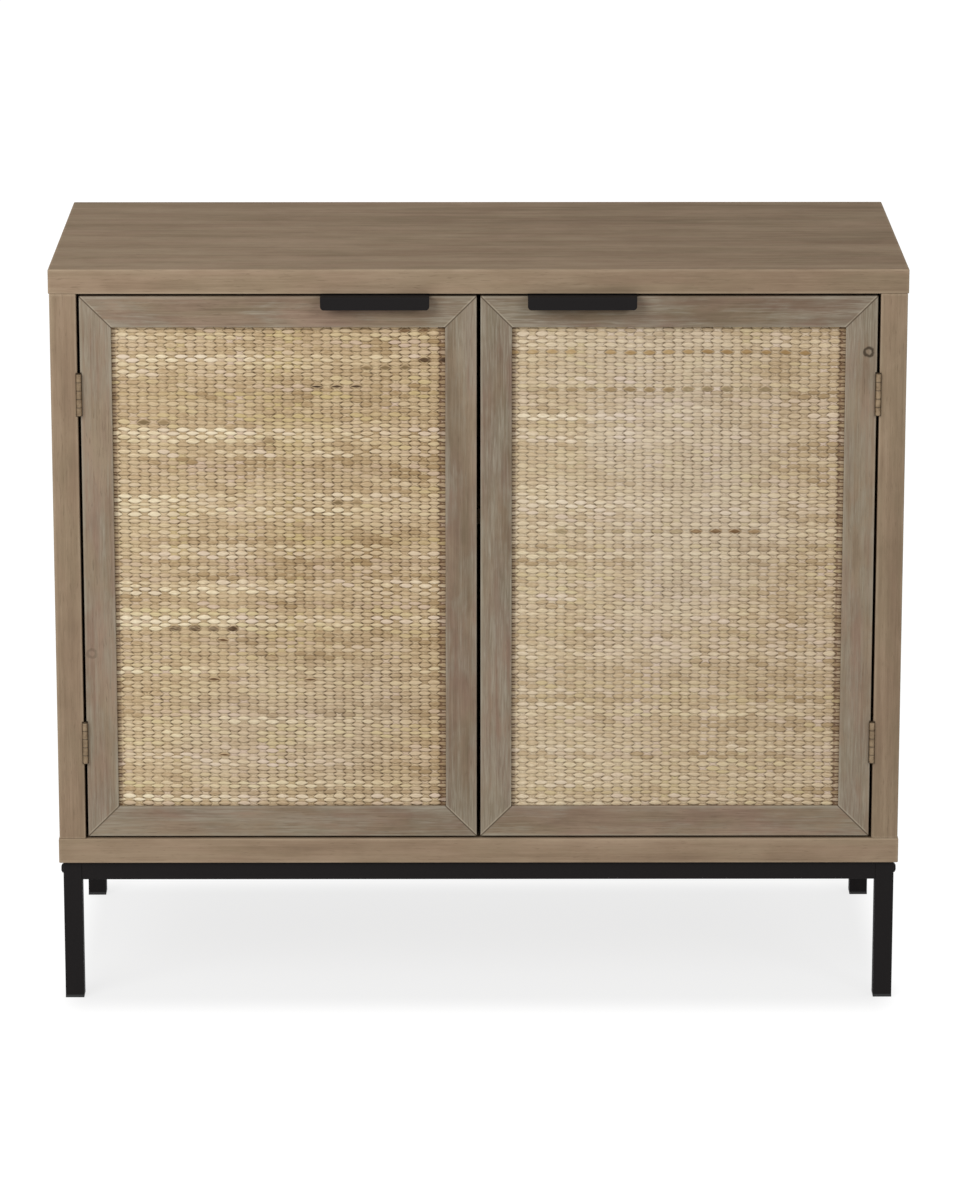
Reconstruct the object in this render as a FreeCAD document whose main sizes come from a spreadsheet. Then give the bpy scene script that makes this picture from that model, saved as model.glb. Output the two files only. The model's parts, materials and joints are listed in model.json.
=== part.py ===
import FreeCAD, Part
import os
import re
import Sketcher

# Sizes, in millimetres. Every one is a cell of the sheet, and every piece is bound to the sheet.
SIZES = {
    # Carcass
    "cabinet_width": 900,
    "cabinet_height": 800,
    "carcass_depth": 400,
    "top_thickness": 26,
    "bottom_thickness": 27,
    "side_thickness": 28,
    "side_setback": 1,
    "edge_round": 1.2,
    "dowel_radius": 4,
    "dowel_length": 30,
    "dowel_fit": 0.1,
    "back_thickness": 6,
    "back_lap": 10,
    "back_fit": 0.5,
    # Shelf
    "record_clearance": 335,
    "shelf_thickness": 18,
    "shelf_setback": 25,
    "shelf_fit": 1.5,
    "peg_radius": 2.5,
    "peg_depth": 9,
    "peg_reach": 9,
    "peg_width": 10,
    "peg_fit": 0.1,
    "peg_row_step": 32,
    # Doors
    "door_thickness": 20,
    "door_inset": 2,
    "door_top_gap": 3,
    "door_bottom_gap": 2.5,
    "hinge_gap": 3,
    "meeting_gap": 4,
    "frame_width": 33,
    "frame_lip": 4.5,
    "frame_round": 1,
    "rebate_width": 10,
    "cane_thickness": 2.4,
    "cane_fit": 0.5,
    "bead_setback": 0.6,
    "bead_fit": 0.3,
    "key_length": 20,
    "key_width": 14,
    "key_thickness": 5,
    "key_inset": 14,
    "key_fit": 0.2,
    # Pulls
    "pull_length": 114,
    "pull_offset": 49.5,
    "pull_projection": 12,
    "pull_lip": 14,
    "pull_sheet": 1.8,
    "pull_seat": 17,
    "pull_corner": 4,
    "pull_bend": 1.6,
    # Hinges
    "hinge_height": 45,
    "hinge_offset": 82,
    "barrel_radius": 2.9,
    "pin_radius": 1.5,
    "pin_play": 0.05,
    "pin_forward": 0.5,
    "leaf_thickness": 1.2,
    "leaf_width": 16,
    "leaf_relief": 0.4,
    "knuckle_gap": 0.2,
    "notch_depth": 4,
    "notch_clearance": 0.4,
    "notch_end": 1,
    # Catches and strikes
    "catch_offset": 60,
    "catch_length": 30,
    "catch_depth": 14,
    "catch_height": 20,
    "catch_gap": 0.4,
    "ear_length": 10,
    "ear_thickness": 3,
    "magnet_length": 24,
    "magnet_depth": 6,
    "magnet_height": 8,
    "magnet_fit": 0.1,
    "strike_length": 36,
    "strike_height": 12,
    "strike_thickness": 1.2,
    # Base
    "base_height": 153,
    "base_side_inset": 4,
    "base_front_inset": 5,
    "tube_size": 20,
    "tube_wall": 1.5,
    "tube_round": 1,
    "glide_flange": 3,
    "glide_plug": 12,
    "glide_fit": 0.1,
    "bolt_radius": 3,
    "bolt_head_radius": 5,
    "bolt_head_height": 2.7,
    "bolt_socket": 2,
    "bolt_hole_fit": 0.2,
    "bolt_thread_fit": 0.05,
    "insert_length": 15,
    # Screws
    "hole_fit": 0.1,
    "drive_width": 0.6,
    "drive_depth": 0.7,
    "leaf_screw_head": 2.6,
    "leaf_screw_shank": 1.4,
    "leaf_screw_length": 14,
    "pull_screw_head": 3.2,
    "pull_screw_shank": 1.6,
    "pull_screw_length": 18,
    "strike_screw_head": 2.4,
    "strike_screw_shank": 1.2,
    "strike_screw_length": 9,
    "back_screw_head": 3.2,
    "back_screw_head_height": 2,
    "back_screw_shank": 1.5,
    "back_screw_length": 20,
    "catch_screw_head": 2.8,
    "catch_screw_head_height": 1.8,
    "catch_screw_shank": 1.4,
    "catch_screw_length": 14,
    "base_screw_head": 4.5,
    "base_screw_head_height": 2.6,
    "base_screw_shank": 2,
    "base_screw_length": 36,
    "base_screw_play": 0.3,
}

KNUCKLES = 5
BOLT_SOCKET_SIDES = 6
PEG_ROWS = (-2, -1, 0, 1, 2)

# Shares of a length at which repeated pieces stand.
DOWEL_shares = (0.15, 0.5, 0.85)
PEG_COLUMN_shares = (0.14, 0.86)
LEAF_SCREW_shares = (0.2, 0.8)
PULL_SCREW_shares = (0.25, 0.75)
STRIKE_SCREW_shares = (0.12, 0.88)
BACK_SCREW_shares = (0.08, 0.5, 0.92)
BACK_RUN_shares = (0.2, 0.5, 0.8)
BASE_SCREW_shares = (0.2, 0.8)
SCREW_TIP_share = 0.25
DRIVE_LENGTH_share = 1.2
HEAD_CROWN_share = 0.6
HEAD_RIM_share = 0.45

# Planes of the cabinet as formulas over the sheet, for its left half. The right half mirrors it.
FRONT = "((pull_projection - carcass_depth) / 2)"
BACK = f"({FRONT} + carcass_depth)"
LEFT = "(-cabinet_width / 2)"
RIGHT = "(cabinet_width / 2)"
SIDE_OUT = f"({LEFT} + side_setback)"
SIDE_IN = f"({SIDE_OUT} + side_thickness)"
SIDE_IN_RIGHT = f"(-{SIDE_IN})"
SIDE_MIDDLE = f"({SIDE_OUT} + side_thickness / 2)"
FLOOR_LOW = "base_height"
FLOOR_TOP = "(base_height + bottom_thickness)"
ROOF_LOW = "(cabinet_height - top_thickness)"
ROOF_TOP = "cabinet_height"
BACK_FACE = f"({BACK} - back_thickness)"

DOOR_LEFT = f"({SIDE_IN} + hinge_gap)"
DOOR_RIGHT = "(-meeting_gap / 2)"
DOOR_LOW = f"({FLOOR_TOP} + door_bottom_gap)"
DOOR_TOP = f"({ROOF_LOW} - door_top_gap)"
DOOR_FRONT = f"({FRONT} + door_inset)"
DOOR_BACK = f"({DOOR_FRONT} + door_thickness)"
DOOR_WIDTH = f"({DOOR_RIGHT} - {DOOR_LEFT})"
DOOR_HEIGHT = f"({DOOR_TOP} - {DOOR_LOW})"
DOOR_MIDDLE = f"({DOOR_FRONT} + door_thickness / 2)"
CANE_FRONT = f"({DOOR_FRONT} + frame_lip)"
CANE_BACK = f"({CANE_FRONT} + cane_thickness)"
REBATE_EDGE = "(frame_width - rebate_width)"

PIN_X = f"({SIDE_IN} + hinge_gap / 2)"
PIN_Y = f"({FRONT} - pin_forward)"
UPPER_HINGE = f"({DOOR_TOP} - hinge_offset - hinge_height)"
LOWER_HINGE = f"({DOOR_LOW} + hinge_offset)"
PLATE_START = f"({PIN_Y} + barrel_radius + leaf_relief)"
PLATE_END = f"({PIN_Y} + leaf_width)"
LEAF_SCREW_Y = f"(({PLATE_START} + {PLATE_END}) / 2)"
HINGE_LOWS = {"upper": UPPER_HINGE, "lower": LOWER_HINGE}

PULL_RIGHT = f"({DOOR_RIGHT} - pull_offset)"
PULL_LEFT = f"({PULL_RIGHT} - pull_length)"
PULL_FRONT = f"({FRONT} - pull_projection)"
PULL_TOP = f"({DOOR_TOP} + pull_sheet)"
PULL_DEPTH = "(pull_projection + door_inset + pull_seat)"

CATCH_X = f"({DOOR_RIGHT} - catch_offset)"
STRIKE_BACK = f"({DOOR_BACK} + strike_thickness)"
CATCH_FRONT = f"({STRIKE_BACK} + catch_gap)"
CATCH_BACK = f"({CATCH_FRONT} + catch_depth)"
CATCH_MIDDLE = f"({CATCH_FRONT} + catch_depth / 2)"
CATCH_LOW = f"({ROOF_LOW} - catch_height)"
EAR_LOW = f"({ROOF_LOW} - ear_thickness)"
STRIKE_Z = f"({CATCH_LOW} + strike_height / 2)"

SHELF_LOW = f"({FLOOR_TOP} + record_clearance)"
SHELF_TOP = f"({SHELF_LOW} + shelf_thickness)"
SHELF_FRONT = f"({DOOR_BACK} + shelf_setback)"
SHELF_BACK = f"({BACK_FACE} - shelf_fit)"
SHELF_DEPTH = f"({SHELF_BACK} - {SHELF_FRONT})"
PEG_Z = f"({SHELF_LOW} - peg_radius)"

LEG_LEFT = f"({LEFT} + base_side_inset)"
LEG_RIGHT = f"({LEG_LEFT} + tube_size)"
LEG_FRONT = f"({FRONT} + base_front_inset)"
LEG_BACK = f"({LEG_FRONT} + tube_size)"
REAR_LEG_BACK = f"({BACK} - base_front_inset)"
REAR_LEG_FRONT = f"({REAR_LEG_BACK} - tube_size)"
RAIL_LOW = "(base_height - tube_size)"
RAIL_MIDDLE = "(base_height - tube_size / 2)"
SIDE_RAIL_LENGTH = f"({REAR_LEG_FRONT} - {LEG_BACK})"
LEG_MIDDLES = (f"({LEG_FRONT} + tube_size / 2)", f"({REAR_LEG_FRONT} + tube_size / 2)")

# Turns that lay a piece made along +Z along another direction.
ACROSS = FreeCAD.Vector(1, 0, 0)
ALONG = FreeCAD.Vector(0, 1, 0)
TURNS = {
    "+x": FreeCAD.Rotation(ALONG, 90),
    "-x": FreeCAD.Rotation(ALONG, -90),
    "+y": FreeCAD.Rotation(ACROSS, -90),
    "-y": FreeCAD.Rotation(ACROSS, 90),
    "+z": FreeCAD.Rotation(ACROSS, 0),
    "-z": FreeCAD.Rotation(ACROSS, 180),
}

document = FreeCAD.newDocument("record_cabinet")
sheet = document.addObject("Spreadsheet::Sheet", "Sizes")
for row, (alias, number) in enumerate(SIZES.items(), start=1):
    sheet.set(f"A{row}", str(number))
    sheet.setAlias(f"A{row}", alias)
document.recompute()
ALIASES = re.compile(r"\b(" + "|".join(SIZES) + r")\b")
nodes = {}


def bind(piece, path, formula):
    """Ties one property of a piece to a formula over the sheet."""
    piece.setExpression(path, ALIASES.sub(r"Sizes.\1", str(formula)))


def place(piece, at, way="+z"):
    """Turns a piece to a direction and ties its position to three formulas."""
    piece.Placement = FreeCAD.Placement(FreeCAD.Vector(), TURNS[way])
    for axis, formula in zip("xyz", at):
        bind(piece, f"Placement.Base.{axis}", formula)


def node(label, piece):
    """Names a finished piece as a node of the part."""
    piece.Label = label
    nodes[label] = piece
    return piece


# Plain solids
def block(name, low, high):
    """A box between two corners."""
    piece = document.addObject("Part::Box", name)
    place(piece, low)
    for side, start, end in zip(("Length", "Width", "Height"), low, high):
        bind(piece, side, f"({end}) - ({start})")
    return piece


def rod(name, at, way, radius, length):
    """A round bar that starts at a point and runs one way."""
    piece = document.addObject("Part::Cylinder", name)
    place(piece, at, way)
    bind(piece, "Radius", radius)
    bind(piece, "Height", length)
    return piece


def cone(name, at, way, start_radius, end_radius, length):
    """A tapered bar that starts at a point and runs one way."""
    piece = document.addObject("Part::Cone", name)
    place(piece, at, way)
    bind(piece, "Radius1", start_radius)
    bind(piece, "Radius2", end_radius)
    bind(piece, "Height", length)
    return piece


def group(name, pieces):
    """Several separate solids held as one object."""
    piece = document.addObject("Part::Compound", name)
    piece.Links = pieces
    return piece


def join(name, pieces):
    """Pieces that are one solid on the real object."""
    piece = document.addObject("Part::MultiFuse", name)
    piece.Shapes = pieces
    piece.Refine = True
    return piece


def cut(name, base, tools):
    """A piece with every tool taken out of it."""
    piece = document.addObject("Part::Cut", name)
    piece.Base = base
    piece.Tool = group(f"{name}_tools", tools)
    return piece


def mirror(name, source):
    """The right-hand twin of a left-hand piece."""
    piece = document.addObject("Part::Mirroring", name)
    piece.Source = source
    piece.Normal = ACROSS
    return piece


def copies(name, prototype, places):
    """One link to a prototype for each place, a place being three formulas and a direction."""
    links = []
    for index, (at, way) in enumerate(places, start=1):
        link = document.addObject("App::Link", f"{name}_{index}")
        link.LinkedObject = prototype
        place(link, at, way)
        links.append(link)
    return links


# Sketched solids
def plane(body, role):
    """One of a body's own origin planes."""
    return next(item for item in body.Origin.OriginFeatures if item.Role == role)


def outline(body, role, points):
    """A closed sketch through points whose two coordinates are formulas, none of them negative."""
    sketch = body.newObject("Sketcher::SketchObject", f"{body.Name}_outline")
    sketch.AttachmentSupport = (plane(body, role), [""])
    sketch.MapMode = "FlatFace"
    count = len(points)
    turn = FreeCAD.Rotation(FreeCAD.Vector(0, 0, 1), 360 / count)
    corners = [FreeCAD.Vector(1, 0, 0)]
    for _ in range(count - 1):
        corners.append(turn.multVec(corners[-1]))
    for start, end in zip(corners, corners[1:] + corners[:1]):
        sketch.addGeometry(Part.LineSegment(start, end), False)
    for index in range(count):
        sketch.addConstraint(Sketcher.Constraint("Coincident", index, 2, (index + 1) % count, 1))
    for index, (across, up) in enumerate(points):
        for kind, axis, formula in (("DistanceX", -2, across), ("DistanceY", -1, up)):
            if formula == "0":
                sketch.addConstraint(Sketcher.Constraint("PointOnObject", index, 1, axis))
            else:
                tie = sketch.addConstraint(Sketcher.Constraint(kind, -1, 1, index, 1, count))
                bind(sketch, f"Constraints[{tie}]", formula)
    return sketch


def pad(body, sketch, length):
    """Pads a sketch along its normal."""
    feature = body.newObject("PartDesign::Pad", f"{body.Name}_pad")
    feature.Profile = sketch
    bind(feature, "Length", length)
    sketch.Visibility = False
    return feature


def ease(body, feature, radius, wanted):
    """Rounds the edges of the body's latest feature that a test picks out."""
    document.recompute()
    names = [f"Edge{number}" for number, edge in enumerate(feature.Shape.Edges, start=1) if wanted(edge)]
    rounding = body.newObject("PartDesign::Fillet", f"{body.Name}_round")
    rounding.Base = (feature, names)
    bind(rounding, "Radius", radius)
    return rounding


def board(name, low, high):
    """A plank with every edge eased."""
    body = document.addObject("PartDesign::Body", name)
    length, depth, height = (f"({end}) - ({start})" for start, end in zip(low, high))
    corners = [("0", "0"), (length, "0"), (length, depth), ("0", depth)]
    plank = pad(body, outline(body, "XY_Plane", corners), height)
    ease(body, plank, "edge_round", lambda edge: True)
    place(body, low)
    return body


def prism(name, points, back, depth):
    """A body padded towards the front from an outline seen from the front, its origin the door's corner."""
    body = document.addObject("PartDesign::Body", name)
    pad(body, outline(body, "XZ_Plane", points), depth)
    place(body, (DOOR_LEFT, back, DOOR_LOW))
    return body


def tube(name, at, way, length):
    """A square tube with rounded long edges that starts at its corner and runs one way."""
    body = document.addObject("PartDesign::Body", name)
    side = "tube_size"
    bar = pad(body, outline(body, "XY_Plane", [("0", "0"), (side, "0"), (side, side), ("0", side)]), length)

    def runs_along(edge):
        direction = edge.tangentAt(edge.FirstParameter)
        return abs(direction.z) > abs(direction.x) + abs(direction.y)

    ease(body, bar, "tube_round", runs_along)
    near, far = "tube_wall", "(tube_size - tube_wall)"
    bore = body.newObject("PartDesign::Pocket", f"{name}_bore")
    bore.Profile = outline(body, "XY_Plane", [(near, near), (far, near), (far, far), (near, far)])
    bore.Type = "ThroughAll"
    bore.Reversed = True
    place(body, at, way)
    return body


def revolved(name, points):
    """A turned piece: its half profile spun about its own long axis."""
    body = document.addObject("PartDesign::Body", name)
    sketch = outline(body, "XZ_Plane", points)
    spin = body.newObject("PartDesign::Revolution", f"{name}_spin")
    spin.Profile = sketch
    spin.ReferenceAxis = (sketch, ["V_Axis"])
    sketch.Visibility = False
    return body


# Screws, each made once with its head at the origin and its tip along +Z
def cross_drive(name, head):
    """The two crossing slots of a cross-head drive."""
    long_half = f"({head} * {DRIVE_LENGTH_share} / 2)"
    slim_half = "(drive_width / 2)"
    slots = []
    for index, (across, along) in enumerate(((long_half, slim_half), (slim_half, long_half)), start=1):
        low = (f"-{across}", f"-{along}", "0")
        slots.append(block(f"{name}_{index}", low, (across, along, "drive_depth")))
    return join(name, slots)


def flat_screw(name, head, head_height, shank, length):
    """A countersunk wood screw."""
    shoulder = f"({length} * {1 - SCREW_TIP_share})"
    points = [("0", "0"), (head, "0"), (shank, head_height), (shank, shoulder), ("0", length)]
    return cut(name, revolved(f"{name}_blank", points), [cross_drive(f"{name}_drive", head)])


def pan_screw(name, head, head_height, shank, length):
    """A screw with a rounded head that stands on the surface."""
    end = f"({head_height} + {length})"
    shoulder = f"({head_height} + {length} * {1 - SCREW_TIP_share})"
    points = [
        ("0", "0"),
        (f"({head} * {HEAD_CROWN_share})", "0"),
        (head, f"({head_height} * {HEAD_RIM_share})"),
        (head, head_height),
        (shank, head_height),
        (shank, shoulder),
        ("0", end),
    ]
    return cut(name, revolved(f"{name}_blank", points), [cross_drive(f"{name}_drive", head)])


def pilot(name, at, way, shank, length):
    """The hole that a screw's shank runs in."""
    return rod(name, at, way, f"({shank} + hole_fit)", f"({length} + hole_fit)")


def countersink(name, at, way, head, shank, depth):
    """The tapered seat of a flat screw, through the whole of a thin plate."""
    return cone(name, at, way, f"({head} + hole_fit)", f"({shank} + hole_fit)", depth)


leaf_screw = flat_screw(
    "leaf_screw", "leaf_screw_head", "leaf_thickness", "leaf_screw_shank", "leaf_screw_length"
)
pull_screw = flat_screw(
    "pull_screw", "pull_screw_head", "pull_sheet", "pull_screw_shank", "pull_screw_length"
)
strike_screw = flat_screw(
    "strike_screw", "strike_screw_head", "strike_thickness", "strike_screw_shank", "strike_screw_length"
)
back_screw = flat_screw(
    "back_screw", "back_screw_head", "back_screw_head_height", "back_screw_shank", "back_screw_length"
)
catch_screw = pan_screw(
    "catch_screw", "catch_screw_head", "catch_screw_head_height", "catch_screw_shank", "catch_screw_length"
)
base_screw = pan_screw(
    "base_screw", "base_screw_head", "base_screw_head_height", "base_screw_shank", "base_screw_length"
)

# Places of the fixings of the left half
dowel_places = [
    ((SIDE_MIDDLE, f"({FRONT} + carcass_depth * {share})", f"({level} - dowel_length / 2)"), "+z")
    for share in DOWEL_shares
    for level in (FLOOR_TOP, ROOF_LOW)
]
catch_ear_reach = "(catch_length / 2 + ear_length / 2)"
catch_screw_spots = [
    (f"({CATCH_X} {sign} {catch_ear_reach})", CATCH_MIDDLE, EAR_LOW) for sign in ("-", "+")
]
base_screw_spots = [
    (f"({LEG_LEFT} + tube_size / 2)", f"({LEG_BACK} + {SIDE_RAIL_LENGTH} * {share})", RAIL_LOW)
    for share in BASE_SCREW_shares
]
opening_height = f"({ROOF_LOW} - {FLOOR_TOP})"
opening_width = f"({SIDE_IN_RIGHT} - {SIDE_IN})"
side_back_spots = [
    (f"({SIDE_IN} - back_lap / 2)", BACK, f"({FLOOR_TOP} + {opening_height} * {share})")
    for share in BACK_SCREW_shares
]
roof_back_spots = [
    (f"({SIDE_IN} + {opening_width} * {share})", BACK, f"({ROOF_LOW} + back_lap / 2)")
    for share in BACK_RUN_shares
]
floor_back_spots = [
    (f"({SIDE_IN} + {opening_width} * {share})", BACK, f"({FLOOR_TOP} - back_lap / 2)")
    for share in BACK_RUN_shares
]
peg_columns = [f"({SHELF_FRONT} + {SHELF_DEPTH} * {share})" for share in PEG_COLUMN_shares]


def leaf_screw_spots(low, face):
    """Where the two screws of a hinge leaf start, on the leaf's face."""
    return [(face, LEAF_SCREW_Y, f"({low} + hinge_height * {share})") for share in LEAF_SCREW_shares]


def pilots(name, spots, way, shank, length):
    """One pilot hole for each spot."""
    return [
        pilot(f"{name}_{index}", at, way, shank, length) for index, at in enumerate(spots, start=1)
    ]


# Carcass boards
dowel_holes = []
for index, (at, way) in enumerate(dowel_places, start=1):
    start = (at[0], at[1], f"({at[2]} - dowel_fit)")
    reach = ("(dowel_radius + dowel_fit)", "(dowel_length + 2 * dowel_fit)")
    dowel_holes.append(rod(f"dowel_hole_{index}", start, way, *reach))
left_dowel_holes = group("left_dowel_holes", dowel_holes)
right_dowel_holes = mirror("right_dowel_holes", left_dowel_holes)

rebate_low = (f"({SIDE_IN} - back_lap)", BACK_FACE, f"({FLOOR_TOP} - back_lap)")
rebate_high = (f"({SIDE_IN_RIGHT} + back_lap)", f"({BACK} + back_fit)", f"({ROOF_LOW} + back_lap)")
back_rebate = block("back_rebate", rebate_low, rebate_high)

catch_holes = group(
    "catch_holes", pilots("catch_hole", catch_screw_spots, "+z", "catch_screw_shank", "catch_screw_length")
)
roof_cuts = [left_dowel_holes, right_dowel_holes, back_rebate, catch_holes]
roof_cuts.append(mirror("right_catch_holes", catch_holes))
roof_cuts += pilots("roof_back_hole", roof_back_spots, "-y", "back_screw_shank", "back_screw_length")
roof = board("roof_board", (LEFT, FRONT, ROOF_LOW), (RIGHT, BACK, ROOF_TOP))
node("top_panel", cut("roof", roof, roof_cuts))

base_holes = group(
    "base_holes", pilots("base_hole", base_screw_spots, "+z", "base_screw_shank", "base_screw_length")
)
floor_cuts = [left_dowel_holes, right_dowel_holes, back_rebate, base_holes]
floor_cuts.append(mirror("right_base_holes", base_holes))
floor_cuts += pilots("floor_back_hole", floor_back_spots, "-y", "back_screw_shank", "back_screw_length")
floor = board("floor_board", (LEFT, FRONT, FLOOR_LOW), (RIGHT, BACK, FLOOR_TOP))
node("bottom_panel", cut("floor", floor, floor_cuts))

side_cuts = [left_dowel_holes, back_rebate]
side_cuts += pilots("side_back_hole", side_back_spots, "-y", "back_screw_shank", "back_screw_length")
for place_name, low in HINGE_LOWS.items():
    notch_low = (f"({PIN_X} - barrel_radius - notch_clearance)", FRONT, f"({low} - notch_end)")
    notch_high = (
        SIDE_IN,
        f"({PIN_Y} + barrel_radius + notch_clearance)",
        f"({low} + hinge_height + notch_end)",
    )
    side_cuts.append(block(f"side_notch_{place_name}", notch_low, notch_high))
    side_cuts += pilots(
        f"side_leaf_hole_{place_name}",
        leaf_screw_spots(low, f"({SIDE_IN} + leaf_thickness)"),
        "-x",
        "leaf_screw_shank",
        "leaf_screw_length",
    )
for column, peg_y in enumerate(peg_columns, start=1):
    for row in PEG_ROWS:
        start = (SIDE_IN, peg_y, f"({PEG_Z} + peg_row_step * {row})")
        reach = ("(peg_radius + peg_fit)", "(peg_depth + peg_fit)")
        side_cuts.append(rod(f"peg_hole_{column}_{row + len(PEG_ROWS)}", start, "-x", *reach))
side = board("side_board", (SIDE_OUT, FRONT, FLOOR_TOP), (SIDE_IN, BACK, ROOF_LOW))
left_side = node("left_side_panel", cut("side", side, side_cuts))
node("right_side_panel", mirror("right_side", left_side))

dowel = rod("dowel", ("0", "0", "0"), "+z", "dowel_radius", "dowel_length")
left_dowels = group("left_dowels", copies("dowel_copy", dowel, dowel_places))
node("carcass_dowels", group("all_dowels", [left_dowels, mirror("right_dowels", left_dowels)]))

# Back panel and its screws
left_back_places = [(at, "-y") for at in side_back_spots]
run_back_places = [(at, "-y") for at in roof_back_spots + floor_back_spots]
back_low = tuple(f"({low} + back_fit)" for low in (rebate_low[0], BACK_FACE, rebate_low[2]))
back_high = (f"({rebate_high[0]} - back_fit)", BACK, f"({rebate_high[2]} - back_fit)")
back_holes = []
for index, (at, way) in enumerate(left_back_places + run_back_places, start=1):
    seat = countersink(
        f"back_seat_{index}", at, way, "back_screw_head", "back_screw_shank", "back_screw_head_height"
    )
    back_holes.append(seat)
    back_holes.append(pilot(f"back_bore_{index}", at, way, "back_screw_shank", "back_screw_length"))
side_back_holes = group("side_back_holes", back_holes[: 2 * len(left_back_places)])
back_cuts = [side_back_holes, mirror("right_back_holes", side_back_holes)]
back_cuts += back_holes[2 * len(left_back_places):]
back_sheet = block("back_sheet", (back_low[0], BACK_FACE, back_low[2]), back_high)
node("back_panel", cut("back", back_sheet, back_cuts))
left_back_screws = group("left_back_screws", copies("side_back_screw", back_screw, left_back_places))
run_back_screws = group("run_back_screws", copies("run_back_screw", back_screw, run_back_places))
right_back_screws = mirror("right_back_screws", left_back_screws)
node("back_panel_screws", group("back_screws", [left_back_screws, run_back_screws, right_back_screws]))

# Shelf and its four pegs
shelf_low = (f"({SIDE_IN} + shelf_fit)", SHELF_FRONT, SHELF_LOW)
shelf_high = (f"({SIDE_IN_RIGHT} - shelf_fit)", SHELF_BACK, SHELF_TOP)
node("shelf", board("shelf_board", shelf_low, shelf_high))
pegs = []
for column, peg_y in enumerate(peg_columns, start=1):
    shank = rod(f"peg_shank_{column}", (SIDE_IN, peg_y, PEG_Z), "-x", "peg_radius", "peg_depth")
    rest_low = (SIDE_IN, f"({peg_y} - peg_width / 2)", f"({SHELF_LOW} - 2 * peg_radius)")
    rest_high = (f"({SIDE_IN} + peg_reach)", f"({peg_y} + peg_width / 2)", SHELF_LOW)
    pegs.append(join(f"peg_{column}", [shank, block(f"peg_rest_{column}", rest_low, rest_high)]))
left_pegs = group("left_pegs", pegs)
node("shelf_pins", group("all_pegs", [left_pegs, mirror("right_pegs", left_pegs)]))

# Magnetic catches under the top panel
housing_half = "(catch_length / 2)"
ear_half = f"({housing_half} + ear_length)"
housing = block(
    "catch_housing",
    (f"({CATCH_X} - {housing_half})", CATCH_FRONT, CATCH_LOW),
    (f"({CATCH_X} + {housing_half})", CATCH_BACK, ROOF_LOW),
)
ears = block(
    "catch_ears",
    (f"({CATCH_X} - {ear_half})", CATCH_FRONT, EAR_LOW),
    (f"({CATCH_X} + {ear_half})", CATCH_BACK, ROOF_LOW),
)
magnet_low = (f"({CATCH_X} - magnet_length / 2)", CATCH_FRONT, f"({STRIKE_Z} - magnet_height / 2)")
magnet_high = (
    f"({CATCH_X} + magnet_length / 2)",
    f"({CATCH_FRONT} + magnet_depth)",
    f"({STRIKE_Z} + magnet_height / 2)",
)
pocket_low = (f"({magnet_low[0]} - magnet_fit)", CATCH_FRONT, f"({magnet_low[2]} - magnet_fit)")
pocket_high = tuple(f"({high} + magnet_fit)" for high in magnet_high)
catch_cuts = [block("magnet_pocket", pocket_low, pocket_high)]
catch_cuts += pilots("ear_hole", catch_screw_spots, "+z", "catch_screw_shank", "ear_thickness")
catch = node("left_catch_body", cut("catch", join("catch_blank", [housing, ears]), catch_cuts))
node("right_catch_body", mirror("right_catch", catch))
magnet = block("magnet", magnet_low, magnet_high)
node("catch_magnets", group("all_magnets", [magnet, mirror("right_magnet", magnet)]))
catch_screw_places = [((x, y, f"({z} - catch_screw_head_height)"), "+z") for x, y, z in catch_screw_spots]
left_catch_screws = group("left_catch_screws", copies("catch_screw_copy", catch_screw, catch_screw_places))
right_catch_screws = mirror("right_catch_screws", left_catch_screws)
node("catch_screws", group("all_catch_screws", [left_catch_screws, right_catch_screws]))

# Hinges
knuckle_step = f"(hinge_height / {KNUCKLES})"


def leaf(name, low, plate_from, plate_to, numbers, face, way):
    """A hinge leaf: its plate, its knuckles round the pin and its two screw seats.

    The leaf's screws start on its face and run the given way.
    """
    top = f"({low} + hinge_height)"
    parts = [block(f"{name}_plate", (plate_from, PLATE_START, low), (plate_to, PLATE_END, top))]
    for number in numbers:
        start = f"({low} + {knuckle_step} * {number} + knuckle_gap / 2)"
        height = f"({knuckle_step} - knuckle_gap)"
        web_low = (plate_from, PIN_Y, start)
        parts.append(block(f"{name}_web_{number}", web_low, (plate_to, PLATE_START, f"({start} + {height})")))
        parts.append(rod(f"{name}_knuckle_{number}", (PIN_X, PIN_Y, start), "+z", "barrel_radius", height))
    tools = [rod(f"{name}_bore", (PIN_X, PIN_Y, low), "+z", "(pin_radius + pin_play)", "hinge_height")]
    for index, at in enumerate(leaf_screw_spots(low, face), start=1):
        tools.append(
            countersink(f"{name}_seat_{index}", at, way, "leaf_screw_head", "leaf_screw_shank", "leaf_thickness")
        )
    return cut(name, join(f"{name}_blank", parts), tools)


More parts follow.
